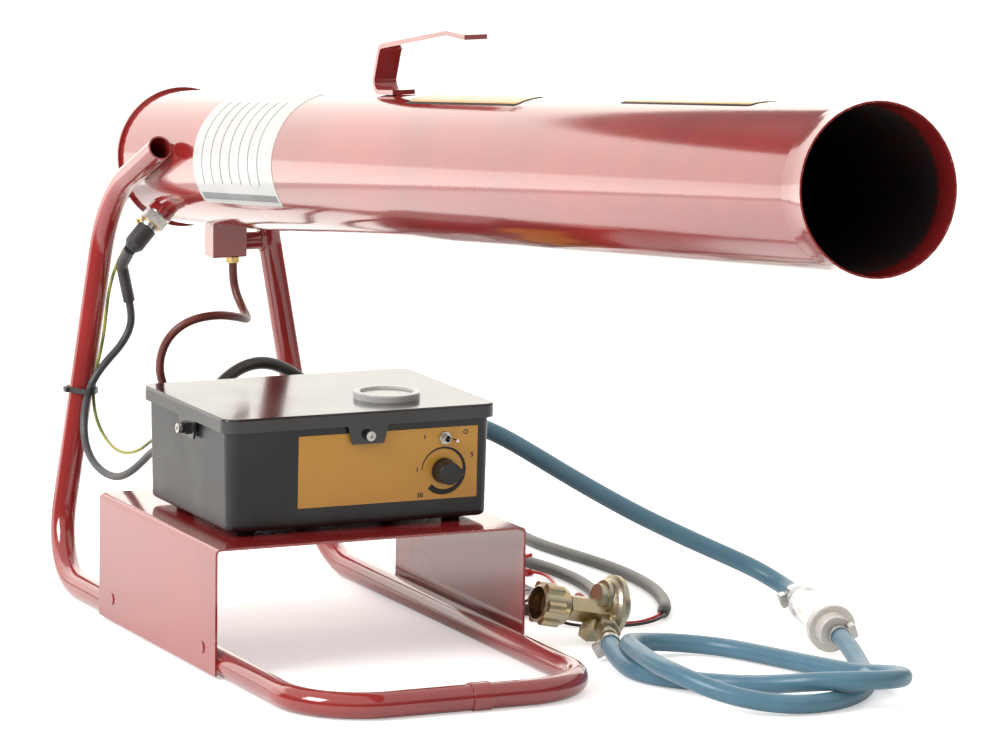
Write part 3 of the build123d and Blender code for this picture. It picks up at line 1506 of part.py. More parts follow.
# cable tie round the left riser, the spark lead and the earth wire
tie_z = 174.0
tie_width = 4.6
tie_gauge = 1.6
tie_slack = 0.6
tie_cord_slack = 1.0
riser_share = (tie_z + tie_width / 2 - tube_r) / (riser_top_z - tube_r)
tie_riser = (
    -(skid_x + (riser_top_x - skid_x) * riser_share),
    skid_rear_y + (riser_top_y - skid_rear_y) * riser_share,
)
tie_lead = (-101.3, 627.1)
tie_earth = (-94.8, 632.7)
with BuildPart() as cable_tie:
    with BuildSketch(Plane.XY.offset(tie_z)):
        with Locations(tie_riser):
            Circle(tube_r + tie_slack + tie_gauge)
        with Locations(tie_lead):
            Circle(ignition_od / 2 + tie_cord_slack + tie_gauge)
        with Locations(tie_earth):
            Circle(earth_od / 2 + tie_cord_slack + tie_gauge)
        make_hull()
    extrude(amount=tie_width)
    with BuildSketch(Plane.XY.offset(tie_z)):
        with Locations((tie_riser[0] - tube_r - tie_gauge - 1, tie_riser[1])):
            Rectangle(4, 7)
    extrude(amount=tie_width)
    with BuildSketch(Plane.XY.offset(tie_z)):
        with Locations(tie_riser):
            Circle(tube_r + tie_slack)
        with Locations(tie_lead):
            Circle(ignition_od / 2 + tie_cord_slack)
        with Locations(tie_earth):
            Circle(earth_od / 2 + tie_cord_slack)
        make_hull()
    extrude(amount=tie_width, mode=Mode.SUBTRACT)
cable_tie.part.label = "cable_tie"
export_step(cable_tie.part, "parts/cable_tie.step")

# ---------------------------------------------------------------- battery clips
clip_width = 11.0
clip_gauge_sheet = 1.2
clip_pin_od = 3.2
cheek_r = 5.5
crimp_barrel = (5.0, 9.0)


def clip_half(rise, cheek_inset):
    """One pressed half of a clip, drawn in side view with the tips along x and the pin at the origin.

    rise is +1 for the upper half and -1 for the lower; the cheeks stand in from the sides by the inset.
    """
    with BuildPart() as half:
        with BuildSketch():
            with BuildLine():
                Polyline(
                    (clip_jaw_length, rise * 0.2),
                    (clip_jaw_length, rise * tip_height),
                    (clip_jaw_length * 0.55, rise * (jaw_height + tip_height)),
                    (0, rise * jaw_height * 1.4),
                    (-clip_handle_length, rise * handle_spread),
                    (-clip_handle_length, rise * (handle_spread - 3.4)),
                    (-6, rise * 1.2),
                    (6, rise * 0.6),
                    (clip_jaw_length * 0.45, rise * 2.2),
                    (clip_jaw_length * 0.85, rise * 0.2),
                    (clip_jaw_length, rise * 0.2),
                )
            make_face()
        extrude(amount=clip_width / 2, both=True)
        # hollow the pressing, open towards the other half
        with BuildSketch():
            with BuildLine():
                Polyline(
                    (clip_jaw_length * 0.9, 0),
                    (clip_jaw_length * 0.5, rise * (jaw_height + tip_height - clip_gauge_sheet * 1.4)),
                    (0, rise * (jaw_height * 1.4 - clip_gauge_sheet)),
                    (-clip_handle_length, rise * (handle_spread - clip_gauge_sheet)),
                    (-clip_handle_length, 0),
                    (clip_jaw_length * 0.9, 0),
                )
            make_face()
        extrude(amount=clip_width / 2 - clip_gauge_sheet, both=True, mode=Mode.SUBTRACT)
        # cheeks with the pin hole
        for side in (-1, 1):
            with BuildSketch(Plane.XY.offset(side * (clip_width / 2 - cheek_inset))):
                Circle(cheek_r)
            extrude(amount=-side * clip_gauge_sheet)
    return half.part


with BuildPart() as clip_base:
    add(clip_half(-1, 0))
    with BuildSketch():
        Circle(cheek_r + clearance)
    extrude(amount=clip_width / 2 - clip_gauge_sheet, both=True, mode=Mode.SUBTRACT)
    with BuildSketch():
        Circle(clip_pin_od / 2)
    extrude(amount=clip_width / 2 - clip_gauge_sheet / 2, both=True)
    with BuildSketch(Plane(origin=(-clip_handle_length, -crimp_drop, 0), z_dir=(1, 0, 0))):
        Circle(crimp_barrel[0] / 2)
    extrude(amount=crimp_barrel[1])

with BuildPart() as clip_jaw:
    add(clip_half(1, clip_gauge_sheet + clearance))
    for side in (-1, 1):
        with BuildSketch(Plane.XY.offset(side * (clip_width / 2 - clip_gauge_sheet - clearance))):
            Circle(cheek_r + clearance * 2)
        extrude(amount=side * clip_width, mode=Mode.SUBTRACT)
    with BuildSketch():
        Circle(clip_pin_od / 2 + running_fit)
    extrude(amount=clip_width, both=True, mode=Mode.SUBTRACT)

for name, side_plane in (("red", red_clip_plane), ("black", black_clip_plane)):
    for piece, half in (("base", clip_base.part), ("jaw", clip_jaw.part)):
        placed = side_plane.location * half
        placed.label = f"{name}_clip_{piece}"
        export_step(placed, f"parts/{name}_clip_{piece}.step")
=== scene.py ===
from math import cos, pi, radians, sin

import bmesh
import bpy
from mathutils import Matrix, Vector


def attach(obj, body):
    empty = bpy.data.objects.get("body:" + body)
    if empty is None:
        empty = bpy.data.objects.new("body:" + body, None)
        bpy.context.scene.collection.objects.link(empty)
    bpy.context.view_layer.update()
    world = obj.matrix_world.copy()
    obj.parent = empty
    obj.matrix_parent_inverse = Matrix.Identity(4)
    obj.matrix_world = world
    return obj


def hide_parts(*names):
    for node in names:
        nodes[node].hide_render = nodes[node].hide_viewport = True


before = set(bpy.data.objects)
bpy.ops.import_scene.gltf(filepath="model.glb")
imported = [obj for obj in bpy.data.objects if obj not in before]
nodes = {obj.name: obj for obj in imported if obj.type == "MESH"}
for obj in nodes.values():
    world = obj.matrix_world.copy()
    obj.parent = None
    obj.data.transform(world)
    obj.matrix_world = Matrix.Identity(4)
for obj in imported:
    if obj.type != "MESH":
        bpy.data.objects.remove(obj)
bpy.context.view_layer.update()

# ---------------------------------------------------------------- dimensions
# Metres, in the CAD's frame: +Z up, muzzle towards -Y, origin on the floor.
MM = 0.001
ROOT = "frame_and_box"

# camera of the photograph
CAMERA_PLACE = (-1.98096, -4.33023, 1.0952)
CAMERA_AZIMUTH = -24.74
CAMERA_ELEVATION = 9.646
CAMERA_ROLL = 0.801
CAMERA_LENS = 216.0
SENSOR_WIDTH = 36.0
CAMERA_REACH = 60

# barrel
BARREL_PITCH = radians(6.2)
BARREL_REAR = Vector((0, 0.65713, 0.3798))
BARREL_AHEAD = Vector((0, -cos(BARREL_PITCH), sin(BARREL_PITCH)))
BARREL_UP = Vector((0, sin(BARREL_PITCH), cos(BARREL_PITCH)))
BARREL_RADIUS = 0.060
BORE_MASK_INNER = 0.0014
BORE_MASK_OUTER = 0.0010

# labels on the barrel: metres from the closed end, and degrees from the top to the left
PLATE_SPAN = (0.176, 0.354)
PLATE_ARC = (8.0, 125.0)
FOOTER_SPAN = (0.182, 0.349)
FOOTER_ARC = (114.5, 120.5)
RULE_COUNT = 7
RULE_FIRST = 0.196
RULE_PITCH = 0.021
RULE_WIDTH = 0.0012
RULE_ARC = (30.0, 106.0)
STICKERS = {"rear_sticker": ((0.560, 0.775), (0.0, 25.0)), "front_sticker": ((0.945, 1.160), (-25.0, 16.0))}
STICKER_BORDER = 0.003
STICKER_BORDER_ANGLE = 3.0
FOIL_LIFT = 0.0003
PRINT_LIFT = 0.0005
FOIL_ROOT = 0.0002
FOIL_ROWS = 48

# front wall of the control box
DRAFT = radians(1.2)
PANEL_RIGHT = Vector((1, 0, 0))
PANEL_UP = Vector((0, -sin(DRAFT), cos(DRAFT)))
PANEL_OUT = Vector((0, -cos(DRAFT), -sin(DRAFT)))
KNOB_CENTRE = Vector((0.0815, 0.258091, 0.156987))

# marks on it: millimetres from the knob's centre, and degrees anticlockwise from its right
DIAL_RADIUS = 20.8
DIAL_START = 176
DIAL_END = -134
DIAL_THIN = 0.8
DIAL_GROWTH = 4.6
NUMBER_HEIGHT = 4.2
NUMBERS = {
    "number_low": ("1", -24.6, 2.0),
    "number_middle": ("5", 26.4, 12.4),
    "number_high": ("30", -21.6, -20.2),
}
RING_PLACE = (20.0, 32.6)
RING_INNER = 1.5
RING_OUTER = 2.2
INK_LIFT = 0.00015
INK_ROOT = 0.0001

# battery lead, in millimetres: where it leaves the gland, its first bend and its sheath's end
GLAND_FACE = Vector((-46, 453.6, 188))
LEAD_STRAIGHT_END = Vector((-46, 462, 188))
LEAD_BEND = (Vector((-46, 470, 188)), Vector((-42.8, 477.7, 189.65)))
SHEATH_END = Vector((320, 312, 5.6))
SHEATH_ALONG = Vector((-13, -22, 0)).normalized()
BOOT_PROFILE = ((-16, 5.6), (-15.5, 5.72), (-1, 5.7), (1.5, 5.4), (5, 4.3), (7.5, 3.9), (8, 3.6))
LATHE_SIDES = 32

# floor: its glow for the camera, and the share of it that reflections see
FLOOR_SIZE = 14
FLOOR_DROP = 0.0004
FLOOR_GLOW = 0.45
REFLECTED_GLOW = 0.25

# world that lights the object: a bright ceiling above a dim band, by the height of the direction
CEILING_FROM = 0.34
CEILING_TO = 0.50
BAND_STRENGTH = 0.16
CEILING_STRENGTH = 0.95
WARM = (1.0, 0.95, 0.88)


# ---------------------------------------------------------------- small helpers
def piece_from_mesh(name, build):
    """Object whose mesh is filled by build(bmesh); it rides on the frame and box."""
    mesh = bpy.data.meshes.new(name)
    made = bmesh.new()
    build(made)
    bmesh.ops.recalc_face_normals(made, faces=made.faces)
    made.to_mesh(mesh)
    made.free()
    piece = bpy.data.objects.new(name, mesh)
    bpy.context.collection.objects.link(piece)
    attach(piece, ROOT)
    return piece


def shade(piece, material, smooth=True):
    """Give a piece one material, and smooth faces where they should look round."""
    piece.data.materials.clear()
    piece.data.materials.append(material)
    if smooth and piece.type == "MESH":
        for face in piece.data.polygons:
            face.use_smooth = True


def on_barrel(distance, angle, radius):
    """Point at a distance from the closed end; the angle in degrees runs from the top to the left."""
    out = BARREL_UP * cos(radians(angle)) + Vector((-1, 0, 0)) * sin(radians(angle))
    return BARREL_REAR + BARREL_AHEAD * distance + out * radius


# ---------------------------------------------------------------- material kit
def new_material(name):
    """Material with one Principled shader; returns the material, its tree and the shader."""
    material = bpy.data.materials.new(name)
    material.use_nodes = True
    tree = material.node_tree
    tree.nodes.clear()
    output = tree.nodes.new("ShaderNodeOutputMaterial")
    shader = tree.nodes.new("ShaderNodeBsdfPrincipled")
    tree.links.new(shader.outputs["BSDF"], output.inputs["Surface"])
    return material, tree, shader


def object_coordinates(tree):
    """Socket with the piece's own coordinates, in metres."""
    return tree.nodes.new("ShaderNodeTexCoord").outputs["Object"]


def noise(tree, scale, detail=3.0):
    """Socket with smooth noise from 0 to 1; a higher scale makes smaller patches."""
    texture = tree.nodes.new("ShaderNodeTexNoise")
    texture.inputs["Scale"].default_value = scale
    texture.inputs["Detail"].default_value = detail
    tree.links.new(object_coordinates(tree), texture.inputs["Vector"])
    return texture.outputs["Fac"]


def ramp(tree, factor, stops):
    """Colour ramp; stops are (place, colour) pairs, and a colour may be one grey number."""
    made = tree.nodes.new("ShaderNodeValToRGB")
    elements = made.color_ramp.elements
    while len(elements) < len(stops):
        elements.new(0.5)
    for element, (place, colour) in zip(elements, stops):
        element.position = place
        element.color = (colour,) * 3 + (1,) if isinstance(colour, (int, float)) else (*colour, 1)
    tree.links.new(factor, made.inputs["Fac"])
    return made.outputs["Color"]


def mix(tree, factor, first, second):
    """Blend of two colours or two sockets by a factor socket."""
    blend = tree.nodes.new("ShaderNodeMix")
    blend.data_type = "RGBA"
    tree.links.new(factor, blend.inputs["Factor"])
    for socket, value in ((blend.inputs[6], first), (blend.inputs[7], second)):
        if isinstance(value, tuple):
            socket.default_value = (*value, 1)
        else:
            tree.links.new(value, socket)
    return blend.outputs[2]


def bump(tree, shader, height, strength, distance):
    """Roughen a shader's normal by a height socket; returns the new normal."""
    made = tree.nodes.new("ShaderNodeBump")
    made.inputs["Strength"].default_value = strength
    made.inputs["Distance"].default_value = distance
    tree.links.new(height, made.inputs["Height"])
    tree.links.new(made.outputs["Normal"], shader.inputs["Normal"])
    return made.outputs["Normal"]


def edge_wear(tree, radius, low, high):
    """1 on worn edges and 0 elsewhere, from the bevel normal against the true one."""
    bevel = tree.nodes.new("ShaderNodeBevel")
    bevel.inputs["Radius"].default_value = radius
    geometry = tree.nodes.new("ShaderNodeNewGeometry")
    dot = tree.nodes.new("ShaderNodeVectorMath")
    dot.operation = "DOT_PRODUCT"
    tree.links.new(bevel.outputs["Normal"], dot.inputs[0])
    tree.links.new(geometry.outputs["Normal"], dot.inputs[1])
    spread = tree.nodes.new("ShaderNodeMapRange")
    spread.inputs["From Min"].default_value = high
    spread.inputs["From Max"].default_value = low
    tree.links.new(dot.outputs["Value"], spread.inputs["Value"])
    return spread.outputs["Result"]


def axis_distance(tree, place, ahead):
    """Socket with the distance of a point from the line through place along ahead."""
    def vector_maths(operation, first, second):
        made = tree.nodes.new("ShaderNodeVectorMath")
        made.operation = operation
        for socket, value in zip(made.inputs, (first, second)):
            if isinstance(value, Vector):
                socket.default_value = value
            elif value is not None:
                tree.links.new(value, socket)
        return made

    offset = vector_maths("SUBTRACT", object_coordinates(tree), place).outputs["Vector"]
    across = vector_maths("CROSS_PRODUCT", offset, ahead).outputs["Vector"]
    return vector_maths("LENGTH", across, None).outputs["Value"]


def enamel(name, colour, deep, gloss=0.16, dark_bore=False):
    """Sprayed enamel: colour drifts a little, a clear coat, orange peel, and pale worn edges."""
    material, tree, shader = new_material(name)
    drift = ramp(tree, noise(tree, 9.0), [(0.35, deep), (0.65, colour)])
    worn = edge_wear(tree, 0.0012, 0.93, 0.995)
    chips = ramp(tree, noise(tree, 260.0, 2.0), [(0.56, 0.0), (0.64, 1.0)])
    wear = tree.nodes.new("ShaderNodeMath")
    wear.operation = "MULTIPLY"
    tree.links.new(worn, wear.inputs[0])
    tree.links.new(chips, wear.inputs[1])
    painted = mix(tree, wear.outputs[0], drift, (0.50, 0.24, 0.20))
    tree.links.new(painted, shader.inputs["Base Color"])
    shader.inputs["Roughness"].default_value = gloss
    shader.inputs["Coat Weight"].default_value = 1.0
    if dark_bore:
        # inside the barrel the colour is a dark charcoal with faint maroon patches, duller and without the
        # clear coat
        bore = tree.nodes.new("ShaderNodeMapRange")
        bore.inputs["From Min"].default_value = BARREL_RADIUS - BORE_MASK_INNER
        bore.inputs["From Max"].default_value = BARREL_RADIUS - BORE_MASK_OUTER
        tree.links.new(axis_distance(tree, BARREL_REAR, BARREL_AHEAD), bore.inputs["Value"])
        outside = bore.outputs["Result"]
        patches = noise(tree, 30.0, 5.0)
        bore_colour = ramp(tree, patches, [(0.35, (0.020, 0.018, 0.020)), (0.7, (0.042, 0.016, 0.016))])
        tree.links.new(mix(tree, outside, bore_colour, painted), shader.inputs["Base Color"])
        tree.links.new(ramp(tree, outside, [(0.0, 0.6), (1.0, gloss)]), shader.inputs["Roughness"])
        tree.links.new(outside, shader.inputs["Coat Weight"])
    shader.inputs["Specular IOR Level"].default_value = 0.3
    shader.inputs["Coat Roughness"].default_value = 0.05
    shader.inputs["Coat IOR"].default_value = 1.7
    peel = bump(tree, shader, noise(tree, 420.0, 2.0), 0.07, 0.0006)
    tree.links.new(peel, shader.inputs["Coat Normal"])
    return material


def plastic(name, colour, roughness, grain=900.0, grain_depth=0.12, coat=0.0, drift=0.25):
    """Moulded plastic with a fine grain, faint scuffs and smudges in its gloss."""
    material, tree, shader = new_material(name)
    pale = tuple(min(1.0, channel * (1 + drift) + 0.04 * drift) for channel in colour)
    shader_colour = ramp(tree, noise(tree, 22.0), [(0.35, colour), (0.7, pale)])
    tree.links.new(shader_colour, shader.inputs["Base Color"])
    smudge = ramp(tree, noise(tree, 14.0, 4.0), [(0.3, roughness * 0.8), (0.75, min(1.0, roughness * 1.35))])
    tree.links.new(smudge, shader.inputs["Roughness"])
    shader.inputs["Coat Weight"].default_value = coat
    shader.inputs["Coat Roughness"].default_value = 0.1
    bump(tree, shader, noise(tree, grain, 2.0), grain_depth, 0.0003)
    return material


def metal(name, colour, tint, roughness, grain=700.0, grain_depth=0.15):
    """Bare or plated metal: blotchy tint, uneven gloss and a fine cast or turned grain."""
    material, tree, shader = new_material(name)
    blotches = ramp(tree, noise(tree, 60.0, 4.0), [(0.35, colour), (0.65, tint)])
    tree.links.new(blotches, shader.inputs["Base Color"])
    gloss = ramp(tree, noise(tree, 120.0, 3.0), [(0.3, roughness * 0.7), (0.7, roughness * 1.4)])
    tree.links.new(gloss, shader.inputs["Roughness"])
    shader.inputs["Metallic"].default_value = 1.0
    bump(tree, shader, noise(tree, grain, 3.0), grain_depth, 0.0004)
    return material


def rubber(name, colour, roughness=0.55, sheen=0.2, dust=1.0):
    """Rubber or soft sheathing: dull, a little dusty in patches, with a fine grain."""
    material, tree, shader = new_material(name)
    dusty = tuple(channel * (1 + 0.6 * dust) + 0.015 * dust for channel in colour)
    patches = ramp(tree, noise(tree, 40.0, 5.0), [(0.4, colour), (0.75, dusty)])
    tree.links.new(patches, shader.inputs["Base Color"])
    shader.inputs["Roughness"].default_value = roughness
    shader.inputs["Sheen Weight"].default_value = sheen
    bump(tree, shader, noise(tree, 1200.0, 2.0), 0.2, 0.0003)
    return material


def clear(name, tint, roughness=0.05, transmission=0.85):
    """Clear moulding: thin, glossy, and lit from behind."""
    material, tree, shader = new_material(name)
    shader.inputs["Base Color"].default_value = (*tint, 1)
    shader.inputs["Transmission Weight"].default_value = transmission
    shader.inputs["IOR"].default_value = 1.47
    tree.links.new(
        ramp(tree, noise(tree, 60.0), [(0.3, roughness), (0.7, roughness * 2.5)]), shader.inputs["Roughness"]
    )
    bump(tree, shader, noise(tree, 90.0, 2.0), 0.05, 0.0006)
    return material


# ---------------------------------------------------------------- the object's materials
RED = (0.34, 0.026, 0.024)
RED_DEEP = (0.26, 0.017, 0.018)
red_enamel = enamel("red_enamel", RED, RED_DEEP)
barrel_enamel = enamel("barrel_enamel", RED, RED_DEEP, dark_bore=True)
box_plastic = plastic("box_plastic", (0.005, 0.006, 0.008), 0.27, grain=1400.0, grain_depth=0.06)
lid_plastic = plastic("lid_plastic", (0.007, 0.007, 0.008), 0.16, grain=1100.0, grain_depth=0.04, coat=0.5)
knob_plastic = plastic("knob_plastic", (0.012, 0.012, 0.012), 0.3)
black_nylon = plastic("black_nylon", (0.02, 0.02, 0.021), 0.4)
white_plastic = plastic("white_plastic", (0.70, 0.67, 0.62), 0.26, coat=0.4, drift=0.1)
ceramic = plastic("ceramic", (0.82, 0.81, 0.77), 0.12, coat=1.0)
board_green = plastic("board_green", (0.02, 0.12, 0.04), 0.35)
panel_yellow = plastic(
    "panel_yellow", (0.60, 0.30, 0.030), 0.32, grain=2200.0, grain_depth=0.03, coat=0.3, drift=0.06
)
soft_rubber = rubber("soft_rubber", (0.018, 0.018, 0.019))
boot_rubber = rubber("boot_rubber", (0.02, 0.02, 0.022), 0.42)
zinc_steel = metal("zinc_steel", (0.62, 0.62, 0.6), (0.5, 0.5, 0.48), 0.28)
chrome = metal("chrome", (0.86, 0.86, 0.85), (0.8, 0.8, 0.79), 0.08, grain_depth=0.02)
brass = metal("brass", (0.78, 0.56, 0.22), (0.62, 0.42, 0.16), 0.3)
chromate_zinc = metal(
    "chromate_zinc", (0.56, 0.45, 0.27), (0.46, 0.45, 0.36), 0.32, grain=500.0, grain_depth=0.35
)
clear_acrylic = clear("clear_acrylic", (0.95, 0.97, 0.97))
# the clear ring gets a pale colour and only half transmission: painted reflection, so that it looks bright
ring_acrylic = clear("ring_acrylic", (0.86, 0.87, 0.86), 0.08, 0.45)
clear_filter = clear("clear_filter", (0.93, 0.94, 0.93), 0.12)
blue_rubber = rubber("blue_rubber", (0.090, 0.215, 0.300), 0.32, 0.08, 0.25)
grey_sheath = rubber("grey_sheath", (0.046, 0.050, 0.046), 0.34, 0.05, 0.5)
lead_sheath = rubber("lead_sheath", (0.050, 0.053, 0.058), 0.35, 0.05, 0.4)
red_sheath = plastic("red_sheath", (0.5, 0.02, 0.02), 0.35)
black_sheath = plastic("black_sheath", (0.02, 0.02, 0.02), 0.35)
hose_maroon = rubber("hose_maroon", (0.12, 0.022, 0.016), 0.34, 0.05)
silver_label = plastic("silver_label", (0.50, 0.51, 0.50), 0.34, grain_depth=0.04, coat=0.4, drift=0.1)
grey_print = plastic("grey_print", (0.20, 0.21, 0.22), 0.5)
gold_label = plastic("gold_label", (0.60, 0.30, 0.045), 0.3, coat=0.5)
print_black = plastic("print_black", (0.008, 0.008, 0.009), 0.55, grain_depth=0.02)


def striped_wire(name, base, stripe):
    """Insulation with a lengthwise stripe that winds slowly round the wire."""
    material, tree, shader = new_material(name)
    wave = tree.nodes.new("ShaderNodeTexWave")
    wave.inputs["Scale"].default_value = 60.0
    wave.inputs["Distortion"].default_value = 1.5
    tree.links.new(object_coordinates(tree), wave.inputs["Vector"])
    stripes = ramp(tree, wave.outputs["Fac"], [(0.45, base), (0.55, stripe)])
    tree.links.new(stripes, shader.inputs["Base Color"])
    shader.inputs["Roughness"].default_value = 0.38
    return material


earth_insulation = striped_wire("earth_insulation", (0.34, 0.33, 0.05), (0.12, 0.17, 0.03))

CAD_MATERIALS = {
    barrel_enamel: "barrel_tube",
    red_enamel: (
        "rear_cap carry_handle frame_tube_left frame_tube_right frame_joint_ring "
        "weld_beads shelf plug_boss inlet_block"
    ),
    box_plastic: "box_base lid_clips",
    lid_plastic: "box_lid",
    soft_rubber: "box_feet lid_gasket wire_grommets",
    zinc_steel: (
        "lid_screws toggle_switch timer_pot timer_shaft valve_plunger spark_plug "
        "filter_clamps regulator_clamp black_clip_base black_clip_jaw"
    ),
    clear_acrylic: "sensor_window",
    ring_acrylic: "sensor_ring",
    panel_yellow: "faceplate",
    chrome: "toggle_lever",
    knob_plastic: "timer_knob",
    board_green: "circuit_board",
    black_nylon: "ignition_coil solenoid_valve battery_gland cable_tie",
    brass: "gas_outlet gas_port inlet_nipple inlet_stem earth_tab earth_terminal",
    ceramic: "plug_insulator",
    boot_rubber: "plug_boot",
    chromate_zinc: "regulator_body regulator_cap inlet_nut regulator_outlet",
    white_plastic: "filter_cap",
    clear_filter: "filter_bowl",
    red_sheath: "red_clip_base red_clip_jaw",
}
for finish, names in CAD_MATERIALS.items():
    for name in names.split():
        shade(nodes[name], finish, smooth=False)


# ---------------------------------------------------------------- labels on the barrel
def barrel_sheet(name, span, arc, corner, lift, material):
    """Thin foil round the barrel, along span in metres and round arc in degrees, with round corners."""
    first, last = span
    low, high = arc
    per_degree = BARREL_RADIUS * radians(1)

    def row_place(turn):
        """Place of a row, closer together over the corners than between them."""
        if turn < 0.25:
            return first + corner * (1 - cos(turn * 2 * pi))
        if turn > 0.75:
            return last - corner * (1 - cos((1 - turn) * 2 * pi))
        return first + corner + (last - first - 2 * corner) * (turn - 0.25) * 2

    def build(made):
        columns = max(8, int((high - low) / 2))
        grid = []
        for index in range(FOIL_ROWS + 1):
            place = row_place(index / FOIL_ROWS)
            from_end = max(0.0, corner - min(place - first, last - place))
            trim = (corner - max(0.0, corner**2 - from_end**2) ** 0.5) / per_degree
            start, end = low + trim, high - trim
            angles = [start + (end - start) * step / columns for step in range(columns + 1)]
            line = [made.verts.new(on_barrel(place, angle, BARREL_RADIUS + lift)) for angle in angles]
            under = [
                made.verts.new(on_barrel(place, angle, BARREL_RADIUS - FOIL_ROOT)) for angle in (start, end)
            ]
            grid.append((line, under))
        for (near, near_under), (far, far_under) in zip(grid, grid[1:]):
            for step in range(columns):
                made.faces.new((near[step], near[step + 1], far[step + 1], far[step]))
            made.faces.new((near_under[0], near[0], far[0], far_under[0]))
            made.faces.new((near[-1], near_under[1], far_under[1], far[-1]))
        for line, under in (grid[0], grid[-1]):
            made.faces.new([under[0], *line, under[1]])

    piece = piece_from_mesh(name, build)
    shade(piece, material)
    return piece


barrel_sheet("plate_label", PLATE_SPAN, PLATE_ARC, 0.004, FOIL_LIFT, silver_label)
barrel_sheet("plate_footer", FOOTER_SPAN, FOOTER_ARC, 0.0008, PRINT_LIFT, grey_print)
for index in range(RULE_COUNT):
    rule_start = RULE_FIRST + RULE_PITCH * index
    rule_span = (rule_start, rule_start + RULE_WIDTH)
    barrel_sheet(f"plate_rule_{index}", rule_span, RULE_ARC, 0.0004, PRINT_LIFT, grey_print)
for name, (span, arc) in STICKERS.items():
    face_span = (span[0] + STICKER_BORDER, span[1] - STICKER_BORDER)
    face_arc = (arc[0] + STICKER_BORDER_ANGLE, arc[1] - STICKER_BORDER_ANGLE)
    barrel_sheet(name, span, arc, 0.003, FOIL_LIFT, print_black)
    barrel_sheet(name + "_face", face_span, face_arc, 0.002, PRINT_LIFT, gold_label)


# ---------------------------------------------------------------- plain marks on the front panel
def on_panel(across, up, lift):
    """Point on the front panel, in millimetres from the knob's centre, lifted by metres."""
    return KNOB_CENTRE + (PANEL_RIGHT * across + PANEL_UP * up) * MM + PANEL_OUT * lift


def panel_strip(name, pairs, closed=False):
    """Printed shape on the panel between pairs of points in millimetres from the knob's centre."""
    def build(made):
        top = [[made.verts.new(on_panel(*point, INK_LIFT)) for point in pair] for pair in pairs]
        base = [[made.verts.new(on_panel(*point, -INK_ROOT)) for point in pair] for pair in pairs]
        count = len(pairs)
        for index in range(count if closed else count - 1):
            after = (index + 1) % count
            made.faces.new((top[index][0], top[index][1], top[after][1], top[after][0]))
            made.faces.new((base[index][0], top[index][0], top[after][0], base[after][0]))
            made.faces.new((top[index][1], base[index][1], base[after][1], top[after][1]))
        if not closed:
            for index in (0, -1):
                made.faces.new((base[index][0], base[index][1], top[index][1], top[index][0]))

    piece = piece_from_mesh(name, build)
    shade(piece, print_black, smooth=False)
    return piece


def arc_pairs(centre, start, end, steps, outer, thickness, growth=0.0):
    """Pairs of inner and outer points along an arc that thickens by growth towards its end."""
    across, up = centre
    pairs = []
    for step in range(steps + 1):
        share = step / steps
        angle = radians(start + (end - start) * share)
        inner = outer - thickness - growth * share**1.3
        pairs.append([(across + radius * cos(angle), up + radius * sin(angle)) for radius in (inner, outer)])
    return pairs


# the wedge starts thin at nine o'clock and runs clockwise over the top to the lower left
wedge = arc_pairs((0, 0), DIAL_START, DIAL_END, 96, DIAL_RADIUS, DIAL_THIN, DIAL_GROWTH)
ring = arc_pairs(RING_PLACE, 0, 360 - 360 / 32, 31, RING_OUTER, RING_OUTER - RING_INNER)
panel_strip("dial_wedge", wedge)
panel_strip("on_mark", [((-18.5, 28.6), (-17.6, 28.6)), ((-18.5, 32.4), (-17.6, 32.4))])
panel_strip("off_mark", ring, closed=True)


def panel_number(name, text, across, up):
    """Plain figures on the panel, cut to a mesh."""
    letters = bpy.data.curves.new(name, "FONT")
    letters.body = text
    letters.size = NUMBER_HEIGHT * 1.4 * MM
    letters.extrude = INK_LIFT
    letters.offset = 0.00012
    letters.resolution_u = 4
    letters.align_x = "CENTER"
    letters.align_y = "CENTER"
    holder = bpy.data.objects.new(name + "_letters", letters)
    mesh = bpy.data.meshes.new_from_object(holder)
    bpy.data.objects.remove(holder)
    turned = Matrix((PANEL_RIGHT, PANEL_UP, PANEL_OUT)).transposed().to_4x4()
    mesh.transform(Matrix.Translation(on_panel(across, up, 0.0)) @ turned)
    mesh.name = name
    piece = bpy.data.objects.new(name, mesh)
    bpy.context.collection.objects.link(piece)
    shade(piece, print_black, smooth=False)
    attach(piece, ROOT)


for name, (text, across, up) in NUMBERS.items():
    panel_number(name, text, across, up)


# ---------------------------------------------------------------- sleeves on the battery lead
def lathe_piece(name, stations, material):
    """Round piece along a path; stations are (centre, direction, radius), in millimetres."""
    def ring(made, centre, along, radius):
        side = along.orthogonal().normalized()
        other = along.cross(side)
        points = []
        for step in range(LATHE_SIDES):
            angle = 2 * pi * step / LATHE_SIDES
            place = centre + side * (radius * cos(angle)) + other * (radius * sin(angle))
            points.append(made.verts.new(place * MM))
        return points

    def build(made):
        rings = [ring(made, centre, direction.normalized(), radius) for centre, direction, radius in stations]
        for near, far in zip(rings, rings[1:]):
            for step in range(LATHE_SIDES):
                after = (step + 1) % LATHE_SIDES
                made.faces.new((near[step], near[after], far[after], far[step]))
        made.faces.new(rings[0])
        made.faces.new(rings[-1])

    piece = piece_from_mesh(name, build)
    shade(piece, material)
    return piece


def bend_station(share, radius):
    """Station on the quadratic curve that the lead follows through its first bend."""
    middle, last = LEAD_BEND
    point = LEAD_STRAIGHT_END * (1 - share) ** 2 + middle * (2 * share * (1 - share)) + last * share**2
    direction = (middle - LEAD_STRAIGHT_END) * (1 - share) + (last - middle) * share
    return point, direction, radius


